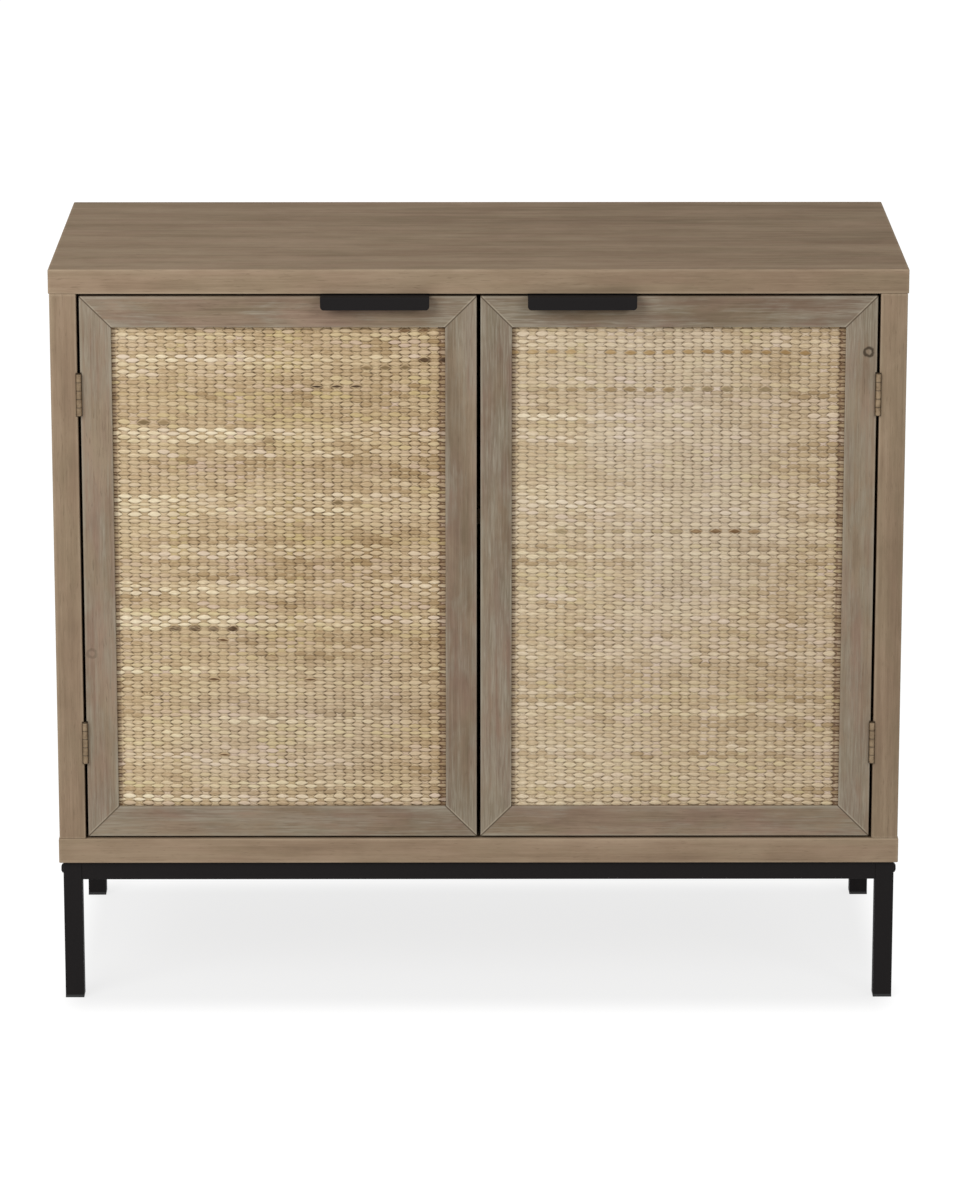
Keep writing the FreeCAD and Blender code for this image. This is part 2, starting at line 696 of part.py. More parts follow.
frame_numbers = range(0, KNUCKLES, 2)
door_numbers = range(1, KNUCKLES, 2)
frame_face = f"({SIDE_IN} + leaf_thickness)"
door_face = f"({DOOR_LEFT} - leaf_thickness)"
frame_screw_places = []
door_screw_places = []
pins = []
for place_name, low in HINGE_LOWS.items():
    frame_leaf = leaf(f"{place_name}_frame_leaf", low, SIDE_IN, frame_face, frame_numbers, frame_face, "-x")
    node(f"left_{place_name}_frame_leaf", frame_leaf)
    node(f"right_{place_name}_frame_leaf", mirror(f"right_{place_name}_frame", frame_leaf))
    door_leaf = leaf(f"{place_name}_door_leaf", low, door_face, DOOR_LEFT, door_numbers, door_face, "+x")
    node(f"left_{place_name}_door_leaf", door_leaf)
    node(f"right_{place_name}_door_leaf", mirror(f"right_{place_name}_door", door_leaf))
    frame_screw_places += [(at, "-x") for at in leaf_screw_spots(low, frame_face)]
    door_screw_places += [(at, "+x") for at in leaf_screw_spots(low, door_face)]
    pins.append(rod(f"pin_{place_name}", (PIN_X, PIN_Y, low), "+z", "pin_radius", "hinge_height"))
left_pins = group("left_pins", pins)
node("hinge_pins", group("all_pins", [left_pins, mirror("right_pins", left_pins)]))
left_frame_screws = group("left_frame_screws", copies("frame_screw", leaf_screw, frame_screw_places))
right_frame_screws = mirror("right_frame_screws", left_frame_screws)
node("frame_leaf_screws", group("all_frame_screws", [left_frame_screws, right_frame_screws]))

# Left door: four mitred members, loose mitre keys, cane, beads and hardware


def key_points(right, top, spare):
    """Corners of a mitre key, or of its slot with a spare all round, at one corner of the door."""
    long_half = f"((key_length / 2 + {spare}) / sqrt(2))"
    wide_half = f"((key_width / 2 + {spare}) / sqrt(2))"
    points = []
    for long_sign, wide_sign in (("+", "+"), ("+", "-"), ("-", "-"), ("-", "+")):
        up_sign = "-" if long_sign == "+" else "+"
        across = f"(key_inset {long_sign} {long_half} {wide_sign} {wide_half})"
        up = f"(key_inset {up_sign} {long_half} {wide_sign} {wide_half})"
        points.append(
            (f"({DOOR_WIDTH} - {across})" if right else across, f"({DOOR_HEIGHT} - {up})" if top else up)
        )
    return points


keys = []
slots = {}
for corner, (right, top) in enumerate(((False, False), (True, False), (True, True), (False, True)), start=1):
    key_back = f"({DOOR_MIDDLE} + key_thickness / 2)"
    slot_back = f"({key_back} + key_fit)"
    keys.append(prism(f"key_{corner}", key_points(right, top, "0"), key_back, "key_thickness"))
    slots[(right, top)] = prism(
        f"slot_{corner}", key_points(right, top, "key_fit"), slot_back, "(key_thickness + 2 * key_fit)"
    )

near, far = "frame_width", REBATE_EDGE
wide, tall = DOOR_WIDTH, DOOR_HEIGHT
near_right, far_right = f"({wide} - {near})", f"({wide} - {far})"
near_top, far_top = f"({tall} - {near})", f"({tall} - {far})"
corner_outer = {
    (False, False): ("0", "0"),
    (True, False): (wide, "0"),
    (True, True): (wide, tall),
    (False, True): ("0", tall),
}
corner_inner = {
    (False, False): (near, near),
    (True, False): (near_right, near),
    (True, True): (near_right, near_top),
    (False, True): (near, near_top),
}
corner_rebate = {
    (False, False): (far, far),
    (True, False): (far_right, far),
    (True, True): (far_right, far_top),
    (False, True): (far, far_top),
}
members = {
    "hinge_stile": ((False, False), (False, True)),
    "meeting_stile": ((True, True), (True, False)),
    "top_rail": ((False, True), (True, True)),
    "bottom_rail": ((True, False), (False, False)),
}
rebate_depth = "(door_thickness - frame_lip)"

# Holes in the door's members
stile_cuts = []
for place_name, low in HINGE_LOWS.items():
    notch_low = (DOOR_LEFT, DOOR_FRONT, f"({low} - notch_end)")
    notch_high = (
        f"({PIN_X} + barrel_radius + notch_clearance)",
        f"({DOOR_FRONT} + notch_depth)",
        f"({low} + hinge_height + notch_end)",
    )
    stile_cuts.append(block(f"door_notch_{place_name}", notch_low, notch_high))
    stile_cuts += pilots(
        f"door_leaf_hole_{place_name}",
        leaf_screw_spots(low, door_face),
        "+x",
        "leaf_screw_shank",
        "leaf_screw_length",
    )
pull_screw_spots = [
    (f"({PULL_LEFT} + pull_length * {share})", DOOR_MIDDLE, PULL_TOP) for share in PULL_SCREW_shares
]
strike_screw_spots = [
    (f"({CATCH_X} - strike_length / 2 + strike_length * {share})", STRIKE_BACK, STRIKE_Z)
    for share in STRIKE_SCREW_shares
]
rail_cuts = pilots("pull_hole", pull_screw_spots, "-z", "pull_screw_shank", "pull_screw_length")
rail_cuts += pilots("strike_hole", strike_screw_spots, "-y", "strike_screw_shank", "strike_screw_length")
extra_cuts = {"hinge_stile": stile_cuts, "top_rail": rail_cuts}


def front_long_edge(upright):
    """A test for the long edges of a door member's front face."""

    def wanted(edge):
        ends = [vertex.Point for vertex in edge.Vertexes]
        span = ends[1] - ends[0]
        run, other = (abs(span.z), abs(span.x)) if upright else (abs(span.x), abs(span.z))
        at_front = all(end.y < -SIZES["door_thickness"] / 2 for end in ends)
        return at_front and run > SIZES["frame_width"] and other < SIZES["frame_round"]

    return wanted


for member, (first, last) in members.items():
    body = document.addObject("PartDesign::Body", f"{member}_blank")
    face = [corner_outer[first], corner_outer[last], corner_inner[last], corner_inner[first]]
    bar = pad(body, outline(body, "XZ_Plane", face), "door_thickness")
    bar = ease(body, bar, "frame_round", front_long_edge(member.endswith("stile")))
    rebate = body.newObject("PartDesign::Pocket", f"{member}_rebate")
    step = [corner_rebate[first], corner_rebate[last], corner_inner[last], corner_inner[first]]
    rebate.Profile = outline(body, "XZ_Plane", step)
    rebate.Reversed = True
    bind(rebate, "Length", rebate_depth)
    place(body, (DOOR_LEFT, DOOR_BACK, DOOR_LOW))
    tools = [slots[first], slots[last]] + extra_cuts.get(member, [])
    node(f"left_door_{member}", cut(member, body, tools))

node("left_door_mitre_keys", group("mitre_keys", keys))

cane_left = f"({DOOR_LEFT} + {REBATE_EDGE} + cane_fit)"
cane_right = f"({DOOR_RIGHT} - {REBATE_EDGE} - cane_fit)"
cane_low = f"({DOOR_LOW} + {REBATE_EDGE} + cane_fit)"
cane_top = f"({DOOR_TOP} - {REBATE_EDGE} - cane_fit)"
cane = block("cane_sheet", (cane_left, CANE_FRONT, cane_low), (cane_right, CANE_BACK, cane_top))
node("left_door_cane", cane)

bead_left = f"({DOOR_LEFT} + {REBATE_EDGE} + bead_fit)"
bead_right = f"({DOOR_RIGHT} - {REBATE_EDGE} - bead_fit)"
bead_low = f"({DOOR_LOW} + {REBATE_EDGE} + bead_fit)"
bead_top = f"({DOOR_TOP} - {REBATE_EDGE} - bead_fit)"
bead_back = f"({DOOR_BACK} - bead_setback)"
bead_width = "(rebate_width - bead_fit)"
bead_spans = {
    "lower": ((bead_left, bead_low), (bead_right, f"({bead_low} + {bead_width})")),
    "upper": ((bead_left, f"({bead_top} - {bead_width})"), (bead_right, bead_top)),
    "hinge_side": (
        (bead_left, f"({bead_low} + {bead_width})"),
        (f"({bead_left} + {bead_width})", f"({bead_top} - {bead_width})"),
    ),
    "meeting_side": (
        (f"({bead_right} - {bead_width})", f"({bead_low} + {bead_width})"),
        (bead_right, f"({bead_top} - {bead_width})"),
    ),
}
beads = [
    block(f"bead_{name}", (low[0], CANE_BACK, low[1]), (high[0], bead_back, high[1]))
    for name, (low, high) in bead_spans.items()
]
node("left_door_beads", group("beads", beads))

# Pull: a bent strip screwed to the door's top edge, its lip hanging in front
pull_body = document.addObject("PartDesign::Body", "pull_blank")
pull_section = [
    ("0", "0"),
    ("pull_sheet", "0"),
    ("pull_sheet", "(pull_lip - pull_sheet)"),
    (PULL_DEPTH, "(pull_lip - pull_sheet)"),
    (PULL_DEPTH, "pull_lip"),
    ("0", "pull_lip"),
]
pull_bar = pad(pull_body, outline(pull_body, "YZ_Plane", pull_section), "pull_length")


def lip_corner(edge):
    """The two short edges at the lower corners of the lip."""
    middle = edge.CenterOfMass
    across = abs(edge.tangentAt(edge.FirstParameter).y)
    return across > abs(edge.tangentAt(edge.FirstParameter).z) and middle.z < SIZES["pull_sheet"] / 2 and (
        edge.Length < 2 * SIZES["pull_sheet"]
    )


def outer_bend(edge):
    """The long outer edge where the flange turns down into the lip."""
    middle = edge.CenterOfMass
    at_top = middle.z > SIZES["pull_lip"] - SIZES["pull_sheet"] / 2
    return at_top and middle.y < SIZES["pull_sheet"] / 2 and edge.Length > SIZES["pull_lip"]


pull_bar = ease(pull_body, pull_bar, "pull_corner", lip_corner)
ease(pull_body, pull_bar, "pull_bend", outer_bend)
place(pull_body, (PULL_LEFT, PULL_FRONT, f"({PULL_TOP} - pull_lip)"))
pull_seats = [
    countersink(f"pull_seat_{index}", at, "-z", "pull_screw_head", "pull_screw_shank", "pull_sheet")
    for index, at in enumerate(pull_screw_spots, start=1)
]
node("left_door_pull", cut("pull", pull_body, pull_seats))
pull_screw_places = [(at, "-z") for at in pull_screw_spots]
node("left_door_pull_screws", group("pull_screws", copies("pull_screw_copy", pull_screw, pull_screw_places)))

# Strike plate that the catch holds, and the door's other screws
strike_half = ("(strike_length / 2)", "(strike_height / 2)")
strike_blank = block(
    "strike_blank",
    (f"({CATCH_X} - {strike_half[0]})", DOOR_BACK, f"({STRIKE_Z} - {strike_half[1]})"),
    (f"({CATCH_X} + {strike_half[0]})", STRIKE_BACK, f"({STRIKE_Z} + {strike_half[1]})"),
)
strike_seats = [
    countersink(f"strike_seat_{index}", at, "-y", "strike_screw_head", "strike_screw_shank", "strike_thickness")
    for index, at in enumerate(strike_screw_spots, start=1)
]
node("left_door_strike", cut("strike", strike_blank, strike_seats))
strike_screw_places = [(at, "-y") for at in strike_screw_spots]
strike_screws = copies("strike_screw_copy", strike_screw, strike_screw_places)
node("left_door_strike_screws", group("strike_screws", strike_screws))
node("left_door_leaf_screws", group("door_screws", copies("door_screw", leaf_screw, door_screw_places)))

# Right door
for label in [label for label in nodes if label.startswith("left_door_")]:
    twin = label.replace("left_", "right_", 1)
    node(twin, mirror(f"{twin}_mirror", nodes[label]))

# Base: welded side frames of square tube, two bolted cross rails
front_leg_corner = (LEG_LEFT, LEG_FRONT, "glide_flange")
rear_leg_corner = (LEG_LEFT, REAR_LEG_FRONT, "glide_flange")
leg_length = "(base_height - glide_flange)"
bolt_hole_radius = "(bolt_radius + bolt_hole_fit)"
legs = {"front": (front_leg_corner, LEG_MIDDLES[0]), "rear": (rear_leg_corner, LEG_MIDDLES[1])}
for name, (at, middle) in legs.items():
    hole = rod(f"{name}_bolt_hole", (LEG_LEFT, middle, RAIL_MIDDLE), "+x", bolt_hole_radius, "tube_size")
    leg = node(f"left_{name}_leg", cut(f"{name}_leg", tube(f"{name}_leg_tube", at, "+z", leg_length), [hole]))
    node(f"right_{name}_leg", mirror(f"right_{name}_leg_mirror", leg))

side_tube = tube("side_rail_tube", (LEG_LEFT, LEG_BACK, "base_height"), "+y", SIDE_RAIL_LENGTH)
rail_holes = [
    rod(f"rail_hole_{index}", at, "+z", "(base_screw_shank + base_screw_play)", "tube_size")
    for index, at in enumerate(base_screw_spots, start=1)
]
side_rail = node("left_side_rail", cut("side_rail", side_tube, rail_holes))
node("right_side_rail", mirror("right_side_rail_mirror", side_rail))
cross_length = f"(-2 * {LEG_RIGHT})"
for name, y in (("front", LEG_FRONT), ("rear", REAR_LEG_FRONT)):
    node(f"{name}_rail", tube(f"{name}_rail_tube", (LEG_RIGHT, y, "base_height"), "+x", cross_length))

inserts = []
glides = []
for name, (at, middle) in legs.items():
    half = "(tube_size / 2 - tube_wall - glide_fit)"
    insert = block(
        f"{name}_insert_blank",
        (LEG_RIGHT, f"({middle} - {half})", f"({RAIL_MIDDLE} - {half})"),
        (f"({LEG_RIGHT} + insert_length)", f"({middle} + {half})", f"({RAIL_MIDDLE} + {half})"),
    )
    thread = rod(
        f"{name}_thread",
        (LEG_RIGHT, middle, RAIL_MIDDLE),
        "+x",
        "(bolt_radius + bolt_thread_fit)",
        "insert_length",
    )
    inserts.append(cut(f"{name}_insert", insert, [thread]))
    centre = f"({LEG_LEFT} + tube_size / 2)"
    plug = block(
        f"{name}_plug",
        (f"({centre} - {half})", f"({middle} - {half})", "0"),
        (f"({centre} + {half})", f"({middle} + {half})", "(glide_flange + glide_plug)"),
    )
    flange_high = (LEG_RIGHT, f"({at[1]} + tube_size)", "glide_flange")
    glides.append(join(f"{name}_glide", [plug, block(f"{name}_flange", (at[0], at[1], "0"), flange_high)]))
left_inserts = group("left_inserts", inserts)
node("rail_inserts", group("all_inserts", [left_inserts, mirror("right_inserts", left_inserts)]))
left_glides = group("left_glides", glides)
node("leg_glides", group("all_glides", [left_glides, mirror("right_glides", left_glides)]))

bolt_end = "(bolt_head_height + tube_size + insert_length)"
bolt_blank = revolved(
    "bolt_blank",
    [
        ("0", "0"),
        (f"(bolt_head_radius * {HEAD_CROWN_share})", "0"),
        ("bolt_head_radius", f"(bolt_head_height * {HEAD_RIM_share})"),
        ("bolt_head_radius", "bolt_head_height"),
        ("bolt_radius", "bolt_head_height"),
        ("bolt_radius", bolt_end),
        ("0", bolt_end),
    ],
)
socket = document.addObject("Part::Prism", "bolt_socket")
socket.Polygon = BOLT_SOCKET_SIDES
bind(socket, "Circumradius", "bolt_socket")
bind(socket, "Height", f"(bolt_head_height * {HEAD_CROWN_share})")
bolt = cut("bolt", bolt_blank, [socket])
bolt_places = [((f"({LEG_LEFT} - bolt_head_height)", middle, RAIL_MIDDLE), "+x") for middle in LEG_MIDDLES]
left_bolts = group("left_bolts", copies("bolt_copy", bolt, bolt_places))
node("rail_bolts", group("all_bolts", [left_bolts, mirror("right_bolts", left_bolts)]))
base_screw_places = [((x, y, f"({z} - base_screw_head_height)"), "+z") for x, y, z in base_screw_spots]
left_base_screws = group("left_base_screws", copies("base_screw_copy", base_screw, base_screw_places))
right_base_screws = mirror("right_base_screws", left_base_screws)
node("base_screws", group("all_base_screws", [left_base_screws, right_base_screws]))

# Check every piece, then write it
document.recompute()
faults = [item.Name for item in document.Objects if {"Invalid", "Error"} & set(item.State)]
for label, piece in nodes.items():
    if piece.Shape.isNull() or not piece.Shape.isValid() or not piece.Shape.Solids:
        faults.append(label)
if faults:
    raise SystemExit("Faulty pieces: " + ", ".join(faults))
os.makedirs("parts", exist_ok=True)
for label, piece in nodes.items():
    piece.Shape.exportStep(f"parts/{label}.step")
print(len(nodes), "nodes written")
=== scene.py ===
"""Looks of a two-door record cabinet: stained wood, woven cane doors and a black steel base.

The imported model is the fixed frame. This script gives its parts procedural finishes, weaves the
two cane panels as real strands, and sets a plain white studio with the photograph's viewing angle.
"""

import json
import logging
import math
from dataclasses import dataclass, replace
from enum import Enum

import bpy
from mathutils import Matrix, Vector


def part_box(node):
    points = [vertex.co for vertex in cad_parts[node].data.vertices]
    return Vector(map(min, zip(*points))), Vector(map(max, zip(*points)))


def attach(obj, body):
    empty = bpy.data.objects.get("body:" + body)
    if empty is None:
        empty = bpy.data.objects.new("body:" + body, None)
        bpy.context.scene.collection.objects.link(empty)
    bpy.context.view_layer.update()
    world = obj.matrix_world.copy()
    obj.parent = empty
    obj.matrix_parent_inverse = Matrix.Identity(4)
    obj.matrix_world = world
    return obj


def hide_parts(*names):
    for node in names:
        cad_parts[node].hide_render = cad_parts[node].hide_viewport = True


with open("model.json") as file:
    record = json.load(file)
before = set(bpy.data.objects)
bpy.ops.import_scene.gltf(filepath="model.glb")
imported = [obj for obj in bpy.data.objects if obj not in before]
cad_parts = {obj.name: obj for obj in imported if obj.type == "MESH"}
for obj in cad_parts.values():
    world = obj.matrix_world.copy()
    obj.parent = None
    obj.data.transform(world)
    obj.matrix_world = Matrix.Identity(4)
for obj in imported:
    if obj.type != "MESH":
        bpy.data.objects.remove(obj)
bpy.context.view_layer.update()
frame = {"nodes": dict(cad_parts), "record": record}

Tree = bpy.types.NodeTree
Socket = bpy.types.NodeSocket
Material = bpy.types.Material
Piece = bpy.types.Object
Pair = tuple[float, float]
Triple = tuple[float, float, float]

LOG = logging.getLogger("record_cabinet")
MM = 0.001
WHITE = (1.0, 1.0, 1.0, 1.0)
RANGE_ENDS = ("From Min", "From Max", "To Min", "To Max")

# The sockets of a mix of two colours: the one below, the one laid over it and the result.
MIX_BELOW = 6
MIX_OVER = 7
MIXED = 2

# The middle of a scale that runs from nought to one.
MIDDLE = 0.5

# The photograph's frame in pixels, and the width of film that its long side stands for.
IMAGE_HEIGHT_PX = 1200
FILM_WIDTH_MM = 36.0

# The cane: the middle of a door's opening, the depth of the sheet's middle, the map that follows
# its strands, and how much of a strand's step in that map half its width takes.
PANEL_MIDDLE_X = 210 * MM
SHEET_MIDDLE_Y = -186.3 * MM
STRAND_UV = "strand"
STRAND_UV_HALF_SHARE = 0.4


class Run(Enum):
    """The axis that a board's grain or a strand follows."""

    ACROSS = 0
    UPRIGHT = 2

    @property
    def beside(self) -> int:
        """The other axis of the cabinet's front."""
        return Run.UPRIGHT.value - self.value


class Parity(Enum):
    """Every second strand, from the first one on or from the second."""

    EVEN = 0
    ODD = 1


class Side(Enum):
    """The two doors, with the sign of their x."""

    LEFT = -1
    RIGHT = 1

    @property
    def door(self) -> str:
        """The door's name in the frame."""
        return f"{self.name.lower()}_door"


class PeelTone(Enum):
    """The darker lengths of peel that a few rows hold.

    Each has its deep and its faded colour, and the share of the strand's width that its skin takes.
    """

    DARK = ("#35240f", "#5a4227", 1.0)
    SLIVER = ("#33220f", "#4a3520", 0.5)
    THREAD = ("#5a3f24", "#7a5d3c", 0.45)
    BROWN = ("#6b4d2d", "#a68b66", 0.85)
    GOLD = ("#95764a", "#b6996c", 0.85)
    DUN = ("#7b6645", "#9d8560", 0.75)
    FAWN = ("#8d7a5a", "#b8a583", 0.85)


def linear(hex_colour: str) -> tuple[float, float, float, float]:
    """Turns an sRGB hex colour into linear light, by the curve of the sRGB standard.

    Args:
        hex_colour: six hex digits, with or without a leading #.

    Returns:
        Red, green, blue and an alpha of one.
    """
    digits = hex_colour.lstrip("#")
    channels = []
    for start in (0, 2, 4):
        value = int(digits[start : start + 2], 16) / 255
        channels.append(value / 12.92 if value <= 0.04045 else ((value + 0.055) / 1.055) ** 2.4)
    return (channels[0], channels[1], channels[2], 1.0)


def add_node(
    tree: Tree,
    kind: str,
    settings: dict | None = None,
    links: dict | None = None,
    output: int | str = 0,
) -> Socket | None:
    """Adds one node with its settings and links.

    Args:
        tree: the node tree that gets the node.
        kind: Blender's name for the node, after the word ShaderNode.
        settings: values by property name or by input. "stops" holds a colour ramp's places and hex
            colours, and "range" the ends that a value is mapped from, then those it is mapped to.
        links: output sockets by input.
        output: the output that is wanted.

    Returns:
        That output's socket, or None for a node without outputs.
    """
    node = tree.nodes.new(f"ShaderNode{kind}")
    for key, value in (settings or {}).items():
        if key == "stops":
            while len(node.color_ramp.elements) < len(value):
                node.color_ramp.elements.new(MIDDLE)
            for element, (place, hex_colour) in zip(node.color_ramp.elements, value):
                element.position = place
                element.color = linear(hex_colour)
        elif key == "range":
            for end, number in zip(RANGE_ENDS, value):
                node.inputs[end].default_value = number
        elif isinstance(key, str) and hasattr(node, key):
            setattr(node, key, value)
        else:
            node.inputs[key].default_value = value
    for key, socket in (links or {}).items():
        tree.links.new(socket, node.inputs[key])
    return node.outputs[output] if node.outputs else None


def empty_tree(owner: Material | bpy.types.World) -> Tree:
    """Gives a material or a world an empty node tree.

    Args:
        owner: the material or world.

    Returns:
        The tree.
    """
    owner.use_nodes = True
    owner.node_tree.nodes.clear()
    return owner.node_tree


def weighted_sum(tree: Tree, start: float, terms: list[tuple[Socket, float]]) -> Socket:
    """Adds patterns up, each with its own weight.

    Args:
        tree: the node tree.
        start: the value that the sum starts from.
        terms: pairs of a pattern's socket and its weight.

    Returns:
        The socket that gives the sum.
    """
    total = None
    for socket, weight in terms:
        links = {0: socket} if total is None else {0: socket, 2: total}
        total = add_node(tree, "Math", {"operation": "MULTIPLY_ADD", 1: weight, 2: start}, links)
    return total


def lay_marks(tree: Tree, colour: Socket, marks: list[tuple[Socket, str]]) -> Socket:
    """Lays marks over a colour, one after the other.

    Args:
        tree: the node tree.
        colour: the socket of the colour below.
        marks: pairs of a mark's mask and its hex colour.

    Returns:
        The socket of the marked colour.
    """
    for mask, hex_colour in marks:
        settings = {"data_type": "RGBA", MIX_OVER: linear(hex_colour)}
        colour = add_node(tree, "Mix", settings, {0: mask, MIX_BELOW: colour}, MIXED)
    return colour


def add_surface(tree: Tree, settings: dict, links: dict) -> None:
    """Ends a material with its surface shader.

    Args:
        tree: the node tree.
        settings: the shader's plain values by input.
        links: the shader's patterns by input.
    """
    shader = add_node(tree, "BsdfPrincipled", settings, links)
    add_node(tree, "OutputMaterial", links={"Surface": shader})


@dataclass(frozen=True)
class WoodPalette:
    """The stain's colours, and how strongly each kind of figure shows in it."""

    # The stain from dark to light, and the lime that is left in its rubbed patches.
    stain: tuple[str, str, str]
    lime: str
    lime_share: float
    cloud_share: float
    blotch_share: float
    streak_share: float
    fibre_share: float
    roughness: float
    specular: float

    # The two tints that the stain leans to by turns, and the grey wash over its rubbed patches.
    tints: tuple[str, ...] = ()
    tint_share: float = 0.0
    wash: str | None = None
    wash_share: float = 0.0


@dataclass(frozen=True)
class StainedWood:
    """Solid board with a grey-brown wiped stain under thin satin lacquer.

    The wipe leaves soft streaks along the grain, darker pores, and a chalky bloom where the brush
    rubbed it.
    """

    name: str
    grain: Run
    palette: WoodPalette

    # The place in the log that the board is cut from, which gives it a figure of its own.
    log_place: float

    # How much lighter the board is than its palette, partly as painted light, and the painted light
    # slope: how much lighter it gets over a metre along its grain.
    tone: float = 0.0
    painted_light_slope: float = 0.0

    # How much more of the board than usual keeps the grey wash.
    washed: float = 0.0

    # A knot's x and z, and how clearly it shows.
    knot: Triple | None = None

    # Each mitre line is where the first number times x, plus z, gives the second.
    mitres: tuple[Pair, ...] = ()

    # The board's lowest and highest corners, where its arrises are rubbed pale and get a painted
    # highlight.
    corners: tuple[Vector, Vector] | None = None

    # Each kind of figure: length along the grain, width across it, and how many finer layers it
    # has. The pores, fibres and chalk streaks of the real wood are too fine for the picture, so
    # they are drawn coarser.
    cloud: Triple = (340 * MM, 40 * MM, 2.0)
    blotch: Triple = (52 * MM, 24 * MM, 3.0)
    streak: Triple = (190 * MM, 4.2 * MM, 4.0)
    fibre: Triple = (34 * MM, 1.4 * MM, 2.0)
    pore: Triple = (13 * MM, 1.2 * MM, 1.0)
    bloom: Triple = (60 * MM, 24 * MM, 3.0)
    hue: Triple = (120 * MM, 26 * MM, 2.0)
    chalk: Triple = (26 * MM, 1.5 * MM, 3.0)
    figure_roughness: float = 0.58
    figure_waviness: float = 0.35

    # Where the colours of the stain and the tints stand on their scales.
    stain_places: Triple = (0.2, 0.5, 0.8)
    tint_places: Pair = (0.38, 0.62)

    # Where on its figure each kind of mark starts and is full.
    pore_range: Pair = (0.62, 0.74)
    chalk_range: Pair = (0.42, 0.7)
    patch_range: Pair = (0.46, 0.74)
    wear_and_highlight_range: Pair = (0.35, 0.6)
    gloss_range: Pair = (0.25, 0.75)
    pore_share: float = 0.45
    least_wear_and_highlight: float = 0.3
    gloss_change: float = 0.07

    # How strongly the rubbed patches follow the streaks of the grain.
    rub_streak_share: float = 0.8

    # What stands proud of the surface and what is sunk in it.
    fibre_relief_share: float = 0.6
    streak_relief_share: float = 0.4
    pore_relief_share: float = -0.8
    relief_strength: float = 0.35
    grain_depth: float = 0.2 * MM

    # The knot is an uneven ring. A drawn line is full to a third of its reach and then fades.
    knot_radius: float = 4.4 * MM
    knot_ring: float = 2.1 * MM
    knot_wobble: float = 3.4 * MM
    knot_grain: float = 3.4 * MM
    knot_layers: float = 2.0
    line_core_share: float = 1 / 3

    # The mitre's open joint, the filler with a painted highlight beside it, the corner that is
    # rubbed more than the rest, and the wear and painted highlight along the arrises.
    joint_line: float = 1.3 * MM
    joint_share: float = 0.85
    filler_highlight_offset: float = 1.7 * MM
    filler_highlight_reach: Pair = (0.6 * MM, 1.4 * MM)
    filler_highlight_share: float = 0.45
    corner_reach: Pair = (0.0 * MM, 75 * MM)
    corner_share: float = 0.2
    wear_and_highlight_reach: float = 3.2 * MM
    wear_and_highlight_share: float = 0.5
    joint_colour: str = "#54473a"
    filler_highlight_colour: str = "#b6aa96"
    knot_colour: str = "#43392e"

    def figure(self, tree: Tree, place: Socket, size: Triple) -> Socket:
        """Draws cloudy figure stretched along the grain.

        Args:
            tree: the node tree.
            place: the socket that gives the point on the board.
            size: the figure's length, width and finer layers.

        Returns:
            The socket that gives the figure, from nought to one.
        """
        length, width, layers = size
        scale = [1 / width] * 3
        scale[self.grain.value] = 1 / length
        cut = {"Location": [self.log_place] * 3, "Scale": scale}
        stretched = add_node(tree, "Mapping", cut, {"Vector": place})
        waves = {"Roughness": self.figure_roughness, "Distortion": self.figure_waviness}
        settings = {"Scale": 1.0, "Detail": layers, **waves}
        return add_node(tree, "TexNoise", settings, {"Vector": stretched})

    def knot_mask(self, tree: Tree, place: Socket) -> Socket:
        """Draws one small round knot as a dark, uneven ring.

        Args:
            tree: the node tree.
            place: the socket that gives the point on the board.

        Returns:
            The socket that is highest in the middle of the ring's line and fades beside it.
        """
        across, up, share = self.knot
        flatten = {"Location": (-across, 0.0, -up), "Scale": (1.0, 0.0, 1.0)}
        flat = add_node(tree, "Mapping", flatten, {"Vector": place})
        reach = add_node(tree, "VectorMath", {"operation": "LENGTH"}, {0: flat}, "Value")
        grain = {"Scale": 1 / self.knot_grain, "Detail": self.knot_layers}
        wobble = add_node(tree, "TexNoise", grain, {"Vector": flat})
        start = -self.knot_radius - self.knot_wobble / 2
        uneven = weighted_sum(tree, start, [(wobble, self.knot_wobble), (reach, 1.0)])
        beside = add_node(tree, "Math", {"operation": "ABSOLUTE"}, {0: uneven})
        core = self.knot_ring * self.line_core_share
        fade = {"range": (core, self.knot_ring, share, 0.0)}
        return add_node(tree, "MapRange", fade, {0: beside})

    def wear_and_highlight_mask(self, tree: Tree, place: Socket, patches: Socket) -> Socket:
        """Draws the rubbed arrises of the board and their painted highlight, where two of its faces
        are near.

        Args:
            tree: the node tree.
            place: the socket that gives the point on the board.
            patches: the socket of the figure that makes the wear uneven.

        Returns:
            The socket that gives the share of wear.
        """
        low, high = self.corners
        middle = {"operation": "SUBTRACT", 1: (low + high) / 2}
        from_middle = add_node(tree, "VectorMath", middle, {0: place})
        size = add_node(tree, "VectorMath", {"operation": "ABSOLUTE"}, {0: from_middle})
        half = {"operation": "SUBTRACT", 0: (high - low) / 2}
        inside = add_node(tree, "VectorMath", half, {1: size})
        x, y, z = add_node(tree, "SeparateXYZ", links={0: inside}).node.outputs
        nearer = add_node(tree, "Math", {"operation": "MINIMUM"}, {0: x, 1: y})
        further = add_node(tree, "Math", {"operation": "MAXIMUM"}, {0: x, 1: y})
        last = add_node(tree, "Math", {"operation": "MINIMUM"}, {0: further, 1: z})
        second = add_node(tree, "Math", {"operation": "MAXIMUM"}, {0: nearer, 1: last})
        fade = {"range": (0.0, self.wear_and_highlight_reach, self.wear_and_highlight_share, 0.0)}
        rub = add_node(tree, "MapRange", fade, {0: second})
        spread = {"range": (*self.wear_and_highlight_range, self.least_wear_and_highlight, 1.0)}
        uneven = add_node(tree, "MapRange", spread, {0: patches})
        return add_node(tree, "Math", {"operation": "MULTIPLY"}, {0: rub, 1: uneven})

